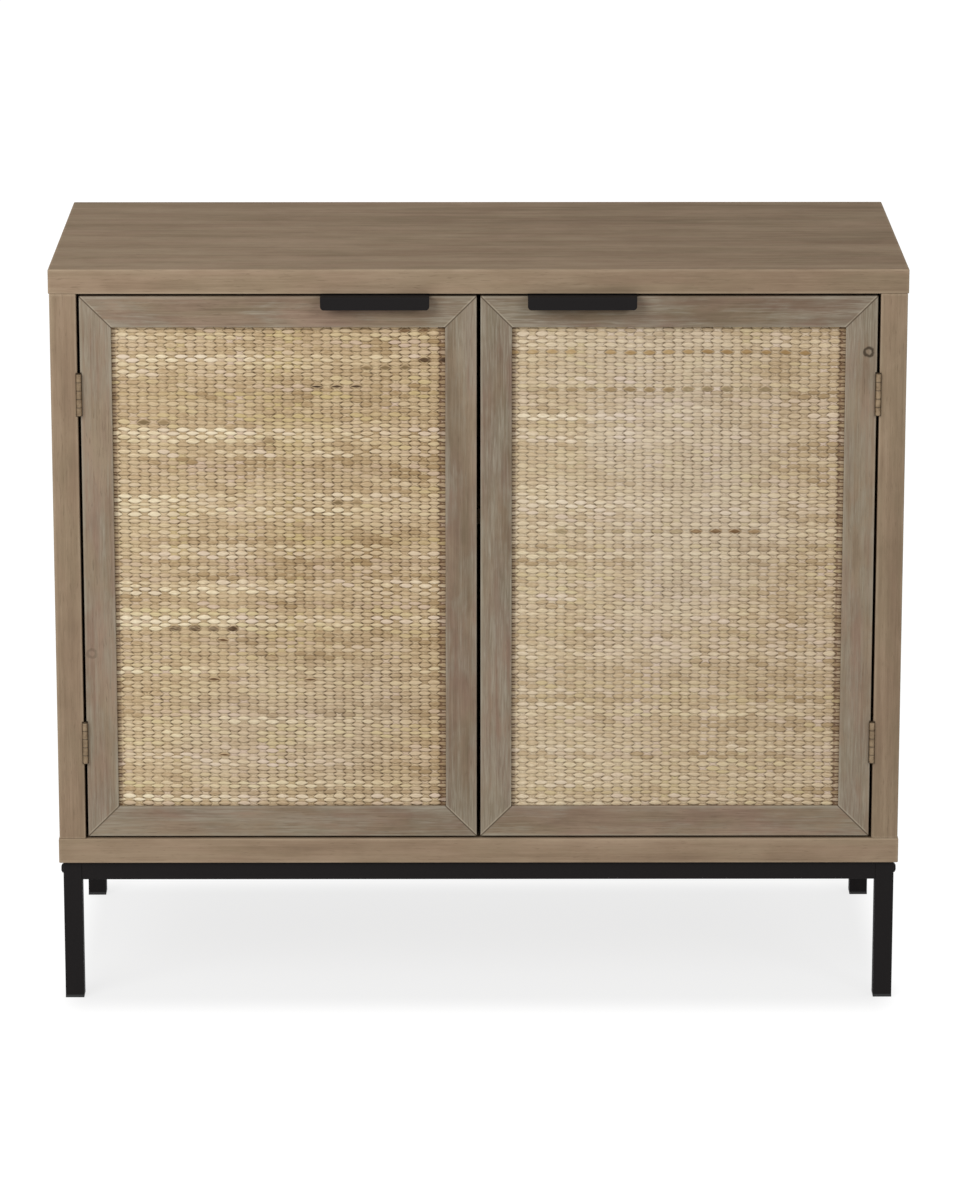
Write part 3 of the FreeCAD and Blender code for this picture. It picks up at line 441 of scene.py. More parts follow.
    def mitre_mask(
        self,
        tree: Tree,
        place: Socket,
        line: Pair,
        reach: Pair,
        share: float,
    ) -> Socket:
        """Draws what lies along one mitre joint.

        Args:
            tree: the node tree.
            place: the socket that gives the point on the board.
            line: what x is multiplied by on the line, and what that and z add up to there.
            reach: how far above or below the line the mask starts to fade and ends.
            share: the mask's highest value.

        Returns:
            The socket that gives the mask.
        """
        slope, total = line
        lie = {"operation": "DOT_PRODUCT", 1: (slope, 0.0, 1.0)}
        along = add_node(tree, "VectorMath", lie, {0: place}, "Value")
        off = add_node(tree, "Math", {"operation": "SUBTRACT", 1: total}, {0: along})
        beside = add_node(tree, "Math", {"operation": "ABSOLUTE"}, {0: off})
        return add_node(tree, "MapRange", {"range": (*reach, share, 0.0)}, {0: beside})

    def mitre_marks(self, tree: Tree, place: Socket, patch: Socket) -> list[tuple[Socket, str]]:
        """Draws the open line of each mitre joint and the pale filler beside it, which is partly a
        painted highlight.

        Args:
            tree: the node tree.
            place: the socket that gives the point on the board.
            patch: the socket of the rubbed patches, which keep the filler.

        Returns:
            Pairs of a mask and its colour.
        """
        marks = []
        hairline = (self.joint_line * self.line_core_share, self.joint_line)
        for slope, total in self.mitres:
            beside = (slope, total + self.filler_highlight_offset)
            # The pale filler beside the joint, partly a painted highlight.
            filler = self.mitre_mask(tree, place, beside, self.filler_highlight_reach, self.filler_highlight_share)
            kept_filler_highlight = add_node(tree, "Math", {"operation": "MULTIPLY"}, {0: patch, 1: filler})
            joint = self.mitre_mask(tree, place, (slope, total), hairline, self.joint_share)
            marks += [(kept_filler_highlight, self.filler_highlight_colour), (joint, self.joint_colour)]
        return marks

    def stain(self, tree: Tree, place: Socket, figures: list[tuple[Socket, float]]) -> Socket:
        """Colours the board by its figure, before any mark.

        Args:
            tree: the node tree.
            place: the socket that gives the point on the board.
            figures: pairs of a figure's socket and how strongly it shows.

        Returns:
            The socket of the colour.
        """
        colours = self.palette
        level = MIDDLE + self.tone - sum(share for _, share in figures) / 2
        # Painted light: the board gets lighter or darker along its grain.
        if self.painted_light_slope:
            axis = self.grain.value
            low, high = self.corners
            level -= self.painted_light_slope * (low[axis] + high[axis]) / 2
            along = add_node(tree, "SeparateXYZ", links={0: place}, output=axis)
            figures = [*figures, (along, self.painted_light_slope)]
        stops = {"stops": list(zip(self.stain_places, colours.stain))}
        colour = add_node(tree, "ValToRGB", stops, {0: weighted_sum(tree, level, figures)})
        if colours.tints:
            stops = {"stops": list(zip(self.tint_places, colours.tints))}
            tint = add_node(tree, "ValToRGB", stops, {0: self.figure(tree, place, self.hue)})
            lean_to = {"data_type": "RGBA", 0: colours.tint_share}
            both = {MIX_BELOW: colour, MIX_OVER: tint}
            colour = add_node(tree, "Mix", lean_to, both, MIXED)
        return colour

    def material(self) -> Material:
        """Builds the board's material and returns it."""
        colours = self.palette
        material = bpy.data.materials.new(self.name)
        tree = empty_tree(material)
        place = add_node(tree, "TexCoord", output="Object")
        cloud, blotch, streak, fibre, pore, bloom, chalk = (
            self.figure(tree, place, size)
            for size in (
                self.cloud,
                self.blotch,
                self.streak,
                self.fibre,
                self.pore,
                self.bloom,
                self.chalk,
            )
        )
        follow = self.rub_streak_share
        bloom = weighted_sum(tree, -follow / 2, [(bloom, 1.0), (streak, follow)])
        for line in self.mitres:
            near = self.mitre_mask(tree, place, line, self.corner_reach, self.corner_share)
            bloom = weighted_sum(tree, 0.0, [(bloom, 1.0), (near, 1.0)])
        start, end = self.patch_range
        kept = {"range": (start - self.washed, end - self.washed, 0.0, 1.0)}
        patch = add_node(tree, "MapRange", kept, {0: bloom})
        rub = add_node(tree, "MapRange", {"range": (*self.chalk_range, 0.0, 1.0)}, {0: chalk})
        limed = add_node(tree, "Math", {"operation": "MULTIPLY"}, {0: rub, 1: patch})
        sunk = {"range": (*self.pore_range, 0.0, self.pore_share)}
        pores = add_node(tree, "MapRange", sunk, {0: pore})
        marks = [(pores, colours.stain[0])]
        if colours.wash:
            marks.append((weighted_sum(tree, 0.0, [(patch, colours.wash_share)]), colours.wash))
        marks.append((weighted_sum(tree, 0.0, [(limed, colours.lime_share)]), colours.lime))
        if self.corners:
            # Wear and a painted highlight along the arrises, in the lime colour.
            marks.append((self.wear_and_highlight_mask(tree, place, bloom), colours.lime))
        marks += self.mitre_marks(tree, place, patch)
        if self.knot:
            marks.append((self.knot_mask(tree, place), self.knot_colour))
        figures = [
            (cloud, colours.cloud_share),
            (blotch, colours.blotch_share),
            (streak, colours.streak_share),
            (fibre, colours.fibre_share),
        ]
        colour = lay_marks(tree, self.stain(tree, place, figures), marks)
        dull = colours.roughness + self.gloss_change
        bright = colours.roughness - self.gloss_change
        shine = {"range": (*self.gloss_range, dull, bright)}
        gloss = add_node(tree, "MapRange", shine, {0: streak})
        reliefs = [
            (fibre, self.fibre_relief_share),
            (streak, self.streak_relief_share),
            (pores, self.pore_relief_share),
        ]
        depth = {"Strength": self.relief_strength, "Distance": self.grain_depth}
        relief = add_node(tree, "Bump", depth, {"Height": weighted_sum(tree, 0.0, reliefs)})
        add_surface(
            tree,
            {"Specular IOR Level": colours.specular},
            {"Base Color": colour, "Roughness": gloss, "Normal": relief},
        )
        return material


@dataclass(frozen=True)
class RattanPeel:
    """Split rattan peel, woven dry and left natural.

    Each strand keeps its own straw, tan or olive tone, with a dull skin; painted shade darkens the
    recesses between strands.
    """

    name: str
    side: Side
    seed: float

    # The pale patch: its middle's x and z, half its width and height, and how pale it is.
    pale_patch: tuple[float, float, float, float]
    pale_patch_share: float

    # The rows' tones from dark to cream, the uprights' three palest ones, the two tints that
    # single floats turn to, and the colour of the painted shade in the recesses and along the rims.
    tones: tuple[str, str, str, str]
    upright_tones: tuple[str, str, str]
    tints: tuple[str, str]
    painted_recess_shade: str

    # How strongly the rims and the painted shade of the recesses show.
    rim_share: float
    recess_share: float

    # How strongly the tone follows the strand, its neighbours, the run along it, the float and the
    # fibre.
    own_share: float
    band_share: float
    drift_share: float
    each_share: float
    thread_share: float = 0.55

    pale_patch_colour: str = "#d9cfc2"
    edge_shade: str = "#684b33"
    roughness: float = 0.52
    gloss_change: Pair = (-0.08, 0.1)
    specular: float = 0.3
    skin_depth: float = 0.2 * MM
    relief_strength: float = 0.3

    # How many strands a band of alike rows takes up, how many floats a change of tone takes along
    # one, how far apart strands are in that change, and how many finer layers these have.
    band_rows: float = 9.0
    band_layers: float = 2.0
    drift_floats: float = 7.0
    drift_step: float = 5.3
    drift_layers: float = 1.0

    # Fibres to a float along the strand, and to a strand across it. The real ones are far finer
    # than the picture shows, so they are drawn coarser.
    thread_counts: Pair = (3.0, 7.0)
    thread_layers: float = 2.0

    # Where the tones and tints stand on their scales, and which floats are tinted, how much.
    tone_places: tuple[float, float, float, float] = (0.12, 0.38, 0.6, 0.86)
    tint_places: Pair = (0.3, 0.7)
    tint_spread: float = 0.6
    tint_range: Pair = (0.4, 1.0)
    tint_share: float = 0.65

    # How far a surface stands before the sheet's middle where the painted shade of the crossings
    # starts and ends, and how far the crown of a float does.
    shade_reach: Pair = (0.0 * MM, 0.3 * MM)
    crown: float = 0.95 * MM

    # The darker cut rims of the peel, partly painted shade of the crevices beside them: where they
    # start and end as shares of the half width.
    rim_shares: Pair = (0.7, 0.98)

    # Where the painted shade of the frame falls on the strands by its groove, from the panel's
    # middle line, and how much of it lies low in the weave and on the crowns.
    edge_reach: Pair = (168.6 * MM, 170.6 * MM)
    edge_offset: float = 1.2 * MM
    edge_share: float = 0.85
    edge_crown_share: float = 0.3

    # The ragged edge of the pale patch.
    pale_patch_cloud: float = 70 * MM
    pale_patch_layers: float = 3.0
    pale_patch_ragged: float = 1.4
    pale_patch_fade: Pair = (0.2, 1.1)

    # How the outlines of rims and painted shade come and go over the panel: a patch's size, where
    # on its figure it starts and is full, the outlines' least and most, and how much single floats
    # differ.
    outline_patch: float = 48 * MM
    outline_layers: float = 2.0
    outline_range: Pair = (0.38, 0.62)
    outline_shares: Pair = (0.3, 0.9)
    outline_each: float = 1.2

    # How much clearer the painted outlines get over a metre to the right, and how much lighter the
    # peel gets there as painted light; it is negative, so the peel is shaded to the right.
    outline_lean: float = 1.5
    painted_light_tone_lean: float = -0.5

    # The plain peel that shows round the dark skin of a toned float. The skin is a lens: half its
    # length as a share of a period, its width as a share of the strand's, and where it starts to
    # fade and ends, as shares of the lens.
    bare: str | None = None
    lens_half_share: float = 0.36
    skin_share: float = 1.0
    lens_fade_shares: Pair = (0.75, 1.2)

    # How the uprights differ from the rows: another part of the pattern, softer rims, and tones
    # that follow the strand and its neighbours less.
    upright_seed_step: float = 300
    upright_rim_share: float = 0.5
    upright_tone_share: float = 1 / 3

    @property
    def middle_x(self) -> float:
        """The middle of the opening that the peel is woven for."""
        return self.side.value * PANEL_MIDDLE_X

    def toned(self, tone: PeelTone) -> "RattanPeel":
        """The same peel in one of the darker tones, uneven along its row."""
        deep, faded, skin_share = tone.value
        _, tan, straw, _ = self.tones
        return replace(
            self,
            name=f"{self.name}_{tone.name.lower()}",
            tones=(deep, deep, faded, straw),
            tints=(faded, faded),
            own_share=0.0,
            band_share=0.0,
            pale_patch_share=0.0,
            bare=tan,
            skin_share=skin_share,
        )

    def for_uprights(self) -> "RattanPeel":
        """The same peel as upright strands, which are plainer."""
        return replace(
            self,
            name=f"{self.name}_uprights",
            seed=self.seed + self.upright_seed_step,
            tones=(self.tones[0], *self.upright_tones),
            rim_share=self.rim_share * self.upright_rim_share,
            own_share=self.own_share * self.upright_tone_share,
            band_share=self.band_share * self.upright_tone_share,
        )

    def bare_mask(self, tree: Tree, along: Socket, across: Socket) -> Socket:
        """Draws where the plain peel shows round the dark skin of a float, which ends in points.

        Args:
            tree: the node tree.
            along: the socket that counts floats along the strand, with whole numbers at the dips.
            across: the socket that is a half in the strand's middle and less beside it.

        Returns:
            The socket that gives the share of plain peel.
        """
        half = self.lens_half_share
        place = add_node(tree, "Math", {"operation": "FRACT"}, {0: along})
        off = weighted_sum(tree, -MIDDLE / half, [(place, 1 / half)])
        bulge = add_node(tree, "Math", {"operation": "MULTIPLY"}, {0: off, 1: off})
        skin_half = STRAND_UV_HALF_SHARE * self.skin_share
        reach = weighted_sum(tree, MIDDLE / skin_half, [(across, -1 / skin_half), (bulge, 1.0)])
        return add_node(tree, "MapRange", {"range": (*self.lens_fade_shares, 0.0, 1.0)}, {0: reach})

    def pale_patch_mask(self, tree: Tree, place: Socket) -> Socket:
        """Draws the cloudy patch where the peel is paler.

        Args:
            tree: the node tree.
            place: the socket that gives the point on the panel.

        Returns:
            The socket that gives the share of the pale colour.
        """
        across, up, half_width, half_height = self.pale_patch
        shrink = {
            "Location": (-across / half_width, 0.0, -up / half_height),
            "Scale": (1 / half_width, 0.0, 1 / half_height),
        }
        oval = add_node(tree, "Mapping", shrink, {"Vector": place})
        reach = add_node(tree, "VectorMath", {"operation": "LENGTH"}, {0: oval}, "Value")
        clouds = {"Scale": 1 / self.pale_patch_cloud, "Detail": self.pale_patch_layers}
        cloud = add_node(tree, "TexNoise", clouds, {"Vector": place})
        rag = self.pale_patch_ragged
        ragged = weighted_sum(tree, -rag / 2, [(cloud, rag), (reach, 1.0)])
        fade = {
            "interpolation_type": "SMOOTHSTEP",
            "range": (*self.pale_patch_fade, self.pale_patch_share, 0.0),
        }
        return add_node(tree, "MapRange", fade, {0: ragged})

    def frame_shade_mask(self, tree: Tree, across: Socket, proud: Socket) -> Socket:
        """Draws the painted shade along the frame, which the crowns of the strands break up.

        Args:
            tree: the node tree.
            across: the socket that gives the point's x.
            proud: the socket that gives how far the surface stands out of the sheet.

        Returns:
            The socket that gives the share of shade.
        """
        middle = {"operation": "SUBTRACT", 1: self.middle_x - self.edge_offset}
        off = add_node(tree, "Math", middle, {0: across})
        reach = add_node(tree, "Math", {"operation": "ABSOLUTE"}, {0: off})
        rise = {"range": (*self.edge_reach, 0.0, self.edge_share)}
        strip = add_node(tree, "MapRange", rise, {0: reach})
        broken = {"range": (self.crown / 2, self.crown, 1.0, self.edge_crown_share)}
        low = add_node(tree, "MapRange", broken, {0: proud})
        return add_node(tree, "Math", {"operation": "MULTIPLY"}, {0: strip, 1: low})

    def outline_share(self, tree: Tree, place: Socket, across: Socket, each: Socket) -> Socket:
        """Draws how clearly the rims and painted shade outline the strands.

        Args:
            tree: the node tree.
            place: the socket that gives the point on the panel.
            across: the socket that gives the point's x.
            each: the socket that differs from float to float.

        Returns:
            The socket that gives the share of the outline.
        """
        clouds = {"Scale": 1 / self.outline_patch, "Detail": self.outline_layers}
        patch = add_node(tree, "TexNoise", clouds, {"Vector": place})
        spread = {"range": (*self.outline_range, *self.outline_shares)}
        patchy = add_node(tree, "MapRange", spread, {0: patch})
        start = -self.outline_lean * self.middle_x - self.outline_each / 2
        terms = [(across, self.outline_lean), (each, self.outline_each), (patchy, 1.0)]
        return add_node(tree, "Clamp", links={"Value": weighted_sum(tree, start, terms)})

    def material(self) -> Material:
        """Builds the strands' material and returns it."""
        material = bpy.data.materials.new(self.name)
        tree = empty_tree(material)

        # Where the point is: along its strand, on which strand, and in the panel.
        strand_map = add_node(tree, "UVMap", {"uv_map": STRAND_UV})
        along, steps, _ = add_node(tree, "SeparateXYZ", links={0: strand_map}).node.outputs
        across = add_node(tree, "Math", {"operation": "PINGPONG", 1: MIDDLE}, {0: steps})
        coordinates = add_node(tree, "TexCoord").node.outputs
        place = coordinates["Object"]
        x, y, _ = add_node(tree, "SeparateXYZ", links={0: place}).node.outputs
        facing = add_node(tree, "SeparateXYZ", links={0: coordinates["Normal"]}, output="Y")
        depth = add_node(tree, "Math", {"operation": "SUBTRACT", 1: SHEET_MIDDLE_Y}, {0: y})
        proud = add_node(tree, "Math", {"operation": "MULTIPLY"}, {0: depth, 1: facing})
        strand = add_node(tree, "Math", {"operation": "FLOOR"}, {0: steps})
        row = add_node(tree, "Math", {"operation": "ADD", 1: self.seed}, {0: strand})

        # The back's floats lie half a period beside those of the front.
        behind = add_node(tree, "Math", {"operation": "GREATER_THAN", 1: 0.0}, {0: facing})
        floats = weighted_sum(tree, 0.0, [(behind, MIDDLE), (along, 1.0)])
        float_index = add_node(tree, "Math", {"operation": "FLOOR"}, {0: floats})

        # What the tone follows.
        own = add_node(tree, "TexWhiteNoise", {"noise_dimensions": "1D"}, {"W": row}).node.outputs
        bands = {"noise_dimensions": "1D", "Scale": 1 / self.band_rows, "Detail": self.band_layers}
        band = add_node(tree, "TexNoise", bands, {"W": row})
        spot = add_node(tree, "CombineXYZ", links={"X": float_index, "Y": row})
        noise = add_node(tree, "TexWhiteNoise", {"noise_dimensions": "2D"}, {"Vector": spot})
        each = noise.node.outputs
        run = add_node(tree, "CombineXYZ", links={"X": along, "Y": row})
        stretch = {"Scale": (1 / self.drift_floats, self.drift_step, 1.0)}
        stretched = add_node(tree, "Mapping", stretch, {"Vector": run})
        drifting = {"noise_dimensions": "2D", "Scale": 1.0, "Detail": self.drift_layers}
        drift = add_node(tree, "TexNoise", drifting, {"Vector": stretched}).node.outputs
        counted = {"Scale": (*self.thread_counts, 1.0)}
        threads = add_node(tree, "Mapping", counted, {"Vector": strand_map})
        fibres = {"noise_dimensions": "2D", "Scale": 1.0, "Detail": self.thread_layers}
        thread = add_node(tree, "TexNoise", fibres, {"Vector": threads})
        weights = [
            (own["Value"], self.own_share),
            (band, self.band_share),
            (drift["Fac"], self.drift_share),
            (each["Value"], self.each_share),
            (thread, self.thread_share),
        ]
        # The tone darkens towards the right of each panel as painted shade.
        level = MIDDLE - sum(weight for _, weight in weights) / 2 - self.painted_light_tone_lean * self.middle_x
        tone = weighted_sum(tree, level, [*weights, (x, self.painted_light_tone_lean)])
        stops = {"stops": list(zip(self.tone_places, self.tones))}
        peel = add_node(tree, "ValToRGB", stops, {0: tone})

        # Some floats lean to one of the tints.
        spread = self.tint_spread
        terms = [(own["Color"], spread), (drift["Color"], spread)]
        stops = {"stops": list(zip(self.tint_places, self.tints))}
        tint = add_node(tree, "ValToRGB", stops, {0: weighted_sum(tree, MIDDLE - spread, terms)})
        chosen = {"range": (*self.tint_range, 0.0, self.tint_share)}
        tinted = add_node(tree, "MapRange", chosen, {0: each["Value"]})
        both = {0: tinted, MIX_BELOW: peel, MIX_OVER: tint}
        colour = add_node(tree, "Mix", {"data_type": "RGBA"}, both, MIXED)

        # The marks: plain peel round a dark skin, the pale patch, outlines of rims and painted
        # shade, and the painted shade along the frame.
        marks = []
        if self.bare:
            marks.append((self.bare_mask(tree, floats, across), self.bare))
        # A paler patch over part of the panel.
        marks.append((self.pale_patch_mask(tree, place), self.pale_patch_colour))
        # The rims: darker cut edges of the peel, partly painted shade of the crevices beside them.
        rim_ends = [MIDDLE - STRAND_UV_HALF_SHARE * share for share in self.rim_shares]
        rim = add_node(tree, "MapRange", {"range": (*rim_ends, 0.0, self.rim_share)}, {0: across})
        # Painted shade of the crossings, where a surface sinks towards the sheet's middle.
        sunk = {"range": (*self.shade_reach, self.recess_share, 0.0)}
        shade = add_node(tree, "MapRange", sunk, {0: proud})
        clear = self.outline_share(tree, place, x, each["Color"])
        for outline in (rim, shade):
            shown = add_node(tree, "Math", {"operation": "MULTIPLY"}, {0: outline, 1: clear})
            marks.append((shown, self.painted_recess_shade))
        # Painted shade of the frame along the edges of the weave.
        marks.append((self.frame_shade_mask(tree, x, proud), self.edge_shade))
        colour = lay_marks(tree, colour, marks)
        skin = {"Strength": self.relief_strength, "Distance": self.skin_depth}
        relief = add_node(tree, "Bump", skin, {"Height": thread})
        glosses = [self.roughness + change for change in self.gloss_change]
        gloss = add_node(tree, "MapRange", {"range": (0.0, 1.0, *glosses)}, {0: thread})
        add_surface(
            tree,
            {"Specular IOR Level": self.specular},
            {"Base Color": colour, "Roughness": gloss, "Normal": relief},
        )
        return material


@dataclass(frozen=True)
class MottledSolid:
    """A plain hard finish with a fine mottle in its colour, gloss and surface."""

    name: str
    dark: str
    light: str
    mottle: float
    relief: float
    roughness: Pair
    metallic: float = 0.0
    specular: float = 0.5

    # How the mottle is made up, and where it starts and is full.
    layers: float = 3.0
    grit: float = 0.6
    mottle_range: Pair = (0.3, 0.7)
    relief_strength: float = 0.3

    # The height of a hinge's lowest joint and the step to the next one. The real joints are a fifth
    # of a millimetre wide, too fine for the picture, so their shade is drawn coarser.
    joints: Pair | None = None
    joint_reach: float = 0.8 * MM
    joint_share: float = 0.8
    joint_colour: str = "#2c241c"

    def joint_mask(self, tree: Tree, place: Socket) -> Socket:
        """Draws the shade of the joints between a hinge's knuckles.

        Args:
            tree: the node tree.
            place: the socket that gives the point on the hinge.

        Returns:
            The socket that gives the share of shade.
        """
        start, step = self.joints
        height = add_node(tree, "SeparateXYZ", links={0: place}, output="Z")
        counted = weighted_sum(tree, -start / step, [(height, 1 / step)])
        beside = add_node(tree, "Math", {"operation": "PINGPONG", 1: MIDDLE}, {0: counted})
        fade = {"range": (0.0, self.joint_reach / step, self.joint_share, 0.0)}
        return add_node(tree, "MapRange", fade, {0: beside})

    def material(self) -> Material:
        """Builds the finish's material and returns it."""
        material = bpy.data.materials.new(self.name)
        tree = empty_tree(material)
        place = add_node(tree, "TexCoord", output="Object")
        grain = {"Scale": 1 / self.mottle, "Detail": self.layers, "Roughness": self.grit}
        noise = add_node(tree, "TexNoise", grain, {"Vector": place})
        stops = {"stops": list(zip(self.mottle_range, (self.dark, self.light)))}
        colour = add_node(tree, "ValToRGB", stops, {0: noise})
        if self.joints:
            colour = lay_marks(tree, colour, [(self.joint_mask(tree, place), self.joint_colour)])
        spread = {"range": (*self.mottle_range, *self.roughness)}
        gloss = add_node(tree, "MapRange", spread, {0: noise})
        depth = {"Strength": self.relief_strength, "Distance": self.relief}
        relief = add_node(tree, "Bump", depth, {"Height": noise})
        add_surface(
            tree,
            {"Metallic": self.metallic, "Specular IOR Level": self.specular},
            {"Base Color": colour, "Roughness": gloss, "Normal": relief},
        )
        return material


# Wiped stain on the carcass: warm, even and almost without shine.
CARCASS_STAIN = WoodPalette(
    stain=("#786653", "#927e68", "#a9947d"),
    lime="#b8a58d",
    lime_share=0.16,
    cloud_share=0.8,
    blotch_share=0.45,
    streak_share=0.42,
    fibre_share=0.28,
    roughness=0.74,
    specular=0.03,
    tints=("#928269", "#977e69"),
    tint_share=0.25,
)

# The same stain brushed and limed on the doors: greyer, with pale streaks along the grain.
DOOR_STAIN = WoodPalette(
    stain=("#6a5a4a", "#867361", "#a08d78"),
    lime="#a8a090",
    lime_share=0.55,
    cloud_share=0.9,
    blotch_share=0.6,
    streak_share=0.6,
    fibre_share=0.5,
    roughness=0.72,
    specular=0.08,
    tints=("#85775f", "#8c7163"),
    tint_share=0.35,
    wash="#857d6c",
    wash_share=0.5,
)

# Stained veneer on the back: plainer, with a low sheen.
BACK_STAIN = WoodPalette(
    stain=("#74624d", "#8c7760", "#a08b73"),
    lime="#a99783",
    lime_share=0.1,
    cloud_share=0.8,
    blotch_share=0.3,
    streak_share=0.6,
    fibre_share=0.4,
    roughness=0.68,
    specular=0.2,
)

# Bare beech in the joints: pale, warm and close in its grain.
BEECH = WoodPalette(
    stain=("#b08d63", "#c7a67a", "#d8bb92"),
    lime="#dcc6a3",
    lime_share=0.1,
    cloud_share=0.6,
    blotch_share=0.2,
    streak_share=0.5,
    fibre_share=0.4,
    roughness=0.6,
    specular=0.3,
)

# Powder coat: near black, its faint shine broken up by orange peel.
POWDER_COAT = MottledSolid(
    "black_powder_coat_on_steel",
    dark="#151313",
    light="#1b1818",
    mottle=0.9 * MM,
    relief=0.05 * MM,
    roughness=(0.6, 0.72),
    specular=0.12,
)

# Antique plate: dull brown metal, blotched lighter and darker.
ANTIQUE_PLATE = MottledSolid(
    "antique_brass_plate_dull",
    dark="#725f49",
    light="#98846a",
    mottle=5 * MM,
    relief=0.05 * MM,
    roughness=(0.42, 0.58),
    metallic=0.7,
)

# Zinc plate: bright pale grey metal, a little cloudy.
ZINC_PLATE = MottledSolid(
    "zinc_plated_steel",
    dark="#a5a6a4",
    light="#c6c7c4",
    mottle=3 * MM,
    relief=0.03 * MM,
    roughness=(0.3, 0.45),
    metallic=1.0,
)

# Moulded plastic: black with a fine spark texture that scatters its shine.
MOULDED_BLACK = MottledSolid(
    "moulded_black_plastic_sparked",
    dark="#1b1b1b",
    light="#262626",
    mottle=0.7 * MM,
    relief=0.06 * MM,
    roughness=(0.5, 0.65),
    specular=0.4,
)

# Sintered ferrite: dull dark grey grit.
FERRITE = MottledSolid(
    "sintered_ferrite",
    dark="#37373a",
    light="#4b4b4e",
    mottle=0.8 * MM,
    relief=0.05 * MM,
    roughness=(0.6, 0.75),
)

# Rattan peel in the left door: golden, streaky, with clear brown painted shade in the recesses.
LEFT_PEEL = RattanPeel(
    "rattan_peel_left",
    Side.LEFT,
    seed=17.3,
    pale_patch=(-190 * MM, 300 * MM, 190 * MM, 140 * MM),
    pale_patch_share=0.16,
    tones=("#a0855e", "#c1a884", "#d6c19d", "#f2e4c4"),
    upright_tones=("#b8a07c", "#c8b18c", "#dac7a5"),
    tints=("#c0ab72", "#ccb3a3"),
    painted_recess_shade="#6f5231",
    rim_share=0.55,
    recess_share=0.68,
    own_share=0.38,
    band_share=0.26,
    drift_share=0.46,
    each_share=0.3,
)

# Rattan peel in the right door: greyer and more even, with fainter painted shade in the recesses.
RIGHT_PEEL = RattanPeel(
    "rattan_peel_right",
    Side.RIGHT,
    seed=143.8,
    pale_patch=(205 * MM, 570 * MM, 130 * MM, 230 * MM),
    pale_patch_share=0.22,
    tones=("#a28965", "#c0a987", "#d4c09f", "#efe1c6"),
    upright_tones=("#bba587", "#cab798", "#dccdb0"),
    tints=("#c5b283", "#d0baab"),
    painted_recess_shade="#93795a",
    rim_share=0.5,
    recess_share=0.6,
    own_share=0.3,
    band_share=0.2,
    drift_share=0.38,
    each_share=0.24,
)

# Dark lengths of peel in each door, in millimetres: from, to, height and tone.
LEFT_DARK_RUNS = (
    (-80, -36, 733.5, PeelTone.BROWN),
    (-75, -36, 702, PeelTone.DARK),
    (-125, -66, 693, PeelTone.DUN),
    (-172, -116, 676, PeelTone.SLIVER),
    (-366, -332, 636, PeelTone.DUN),
    (-232, -200, 615, PeelTone.DUN),
    (-162, -126, 547, PeelTone.DUN),
    (-328, -248, 410, PeelTone.DARK),
    (-276, -256, 399, PeelTone.THREAD),
    (-288, -268, 356, PeelTone.THREAD),
    (-183, -163, 355, PeelTone.THREAD),
    (-278, -258, 273, PeelTone.THREAD),
)
RIGHT_DARK_RUNS = (
    (30, 108, 710, PeelTone.GOLD),
    (130, 355, 710, PeelTone.GOLD),
    (40, 65, 669, PeelTone.FAWN),
    (65, 205, 669, PeelTone.DUN),
    (205, 340, 669, PeelTone.FAWN),
    (80, 225, 517, PeelTone.FAWN),
    (225, 302, 517, PeelTone.BROWN),
)

# Each door member's tone, painted light slope and wash, in the order of the members. The tones are
# partly painted light and shade.
LEFT_TONES = (
    (0.1, 0.1, 0.02),
    (-0.02, 0.4, 0.0),
    (-0.04, -0.3, -0.05),
    (0.04, -0.6, 0.02),
    (0.0, 0.0, 0.0),
)
RIGHT_TONES = (
    (0.08, 0.0, 0.06),
    (0.04, -0.4, 0.12),
    (-0.2, 0.0, 0.03),
    (0.03, 0.15, -0.06),
    (0.0, 0.0, 0.0),
)

# The place in the log that each door's first member is cut from.
LEFT_LOG_PLACE = 41.3
RIGHT_LOG_PLACE = 77.9

# The knot in each hinge stile: x, z and how clearly it shows.
FAINT_KNOT = (-411 * MM, 385 * MM, 0.3)
CLEAR_KNOT = (409 * MM, 711.5 * MM, 0.9)


def dress(node: str, material: Material) -> None:
    """Puts a material on a part of the frame.

    Args:
        node: the part's name in the frame.
        material: the material that it gets.
    """
    part = frame["nodes"][node]
    if not part.material_slots:
        part.data.materials.append(material)
    for slot in part.material_slots:
        slot.material = material


def select_only(piece: Piece) -> None:
    """Selects one object and makes it active.

    Args:
        piece: the object.
    """
    bpy.ops.object.select_all(action="DESELECT")
    piece.select_set(True)
    bpy.context.view_layer.objects.active = piece


def apply_modifier(piece: Piece, kind: str, **settings: object) -> None:
    """Adds a modifier to a piece and applies it.

    Args:
        piece: the object.
        kind: Blender's name for the modifier.
        settings: the modifier's properties.
    """
    select_only(piece)
    modifier = piece.modifiers.new(kind.lower(), kind)
    for key, value in settings.items():
        setattr(modifier, key, value)
    bpy.ops.object.modifier_apply(modifier=modifier.name)


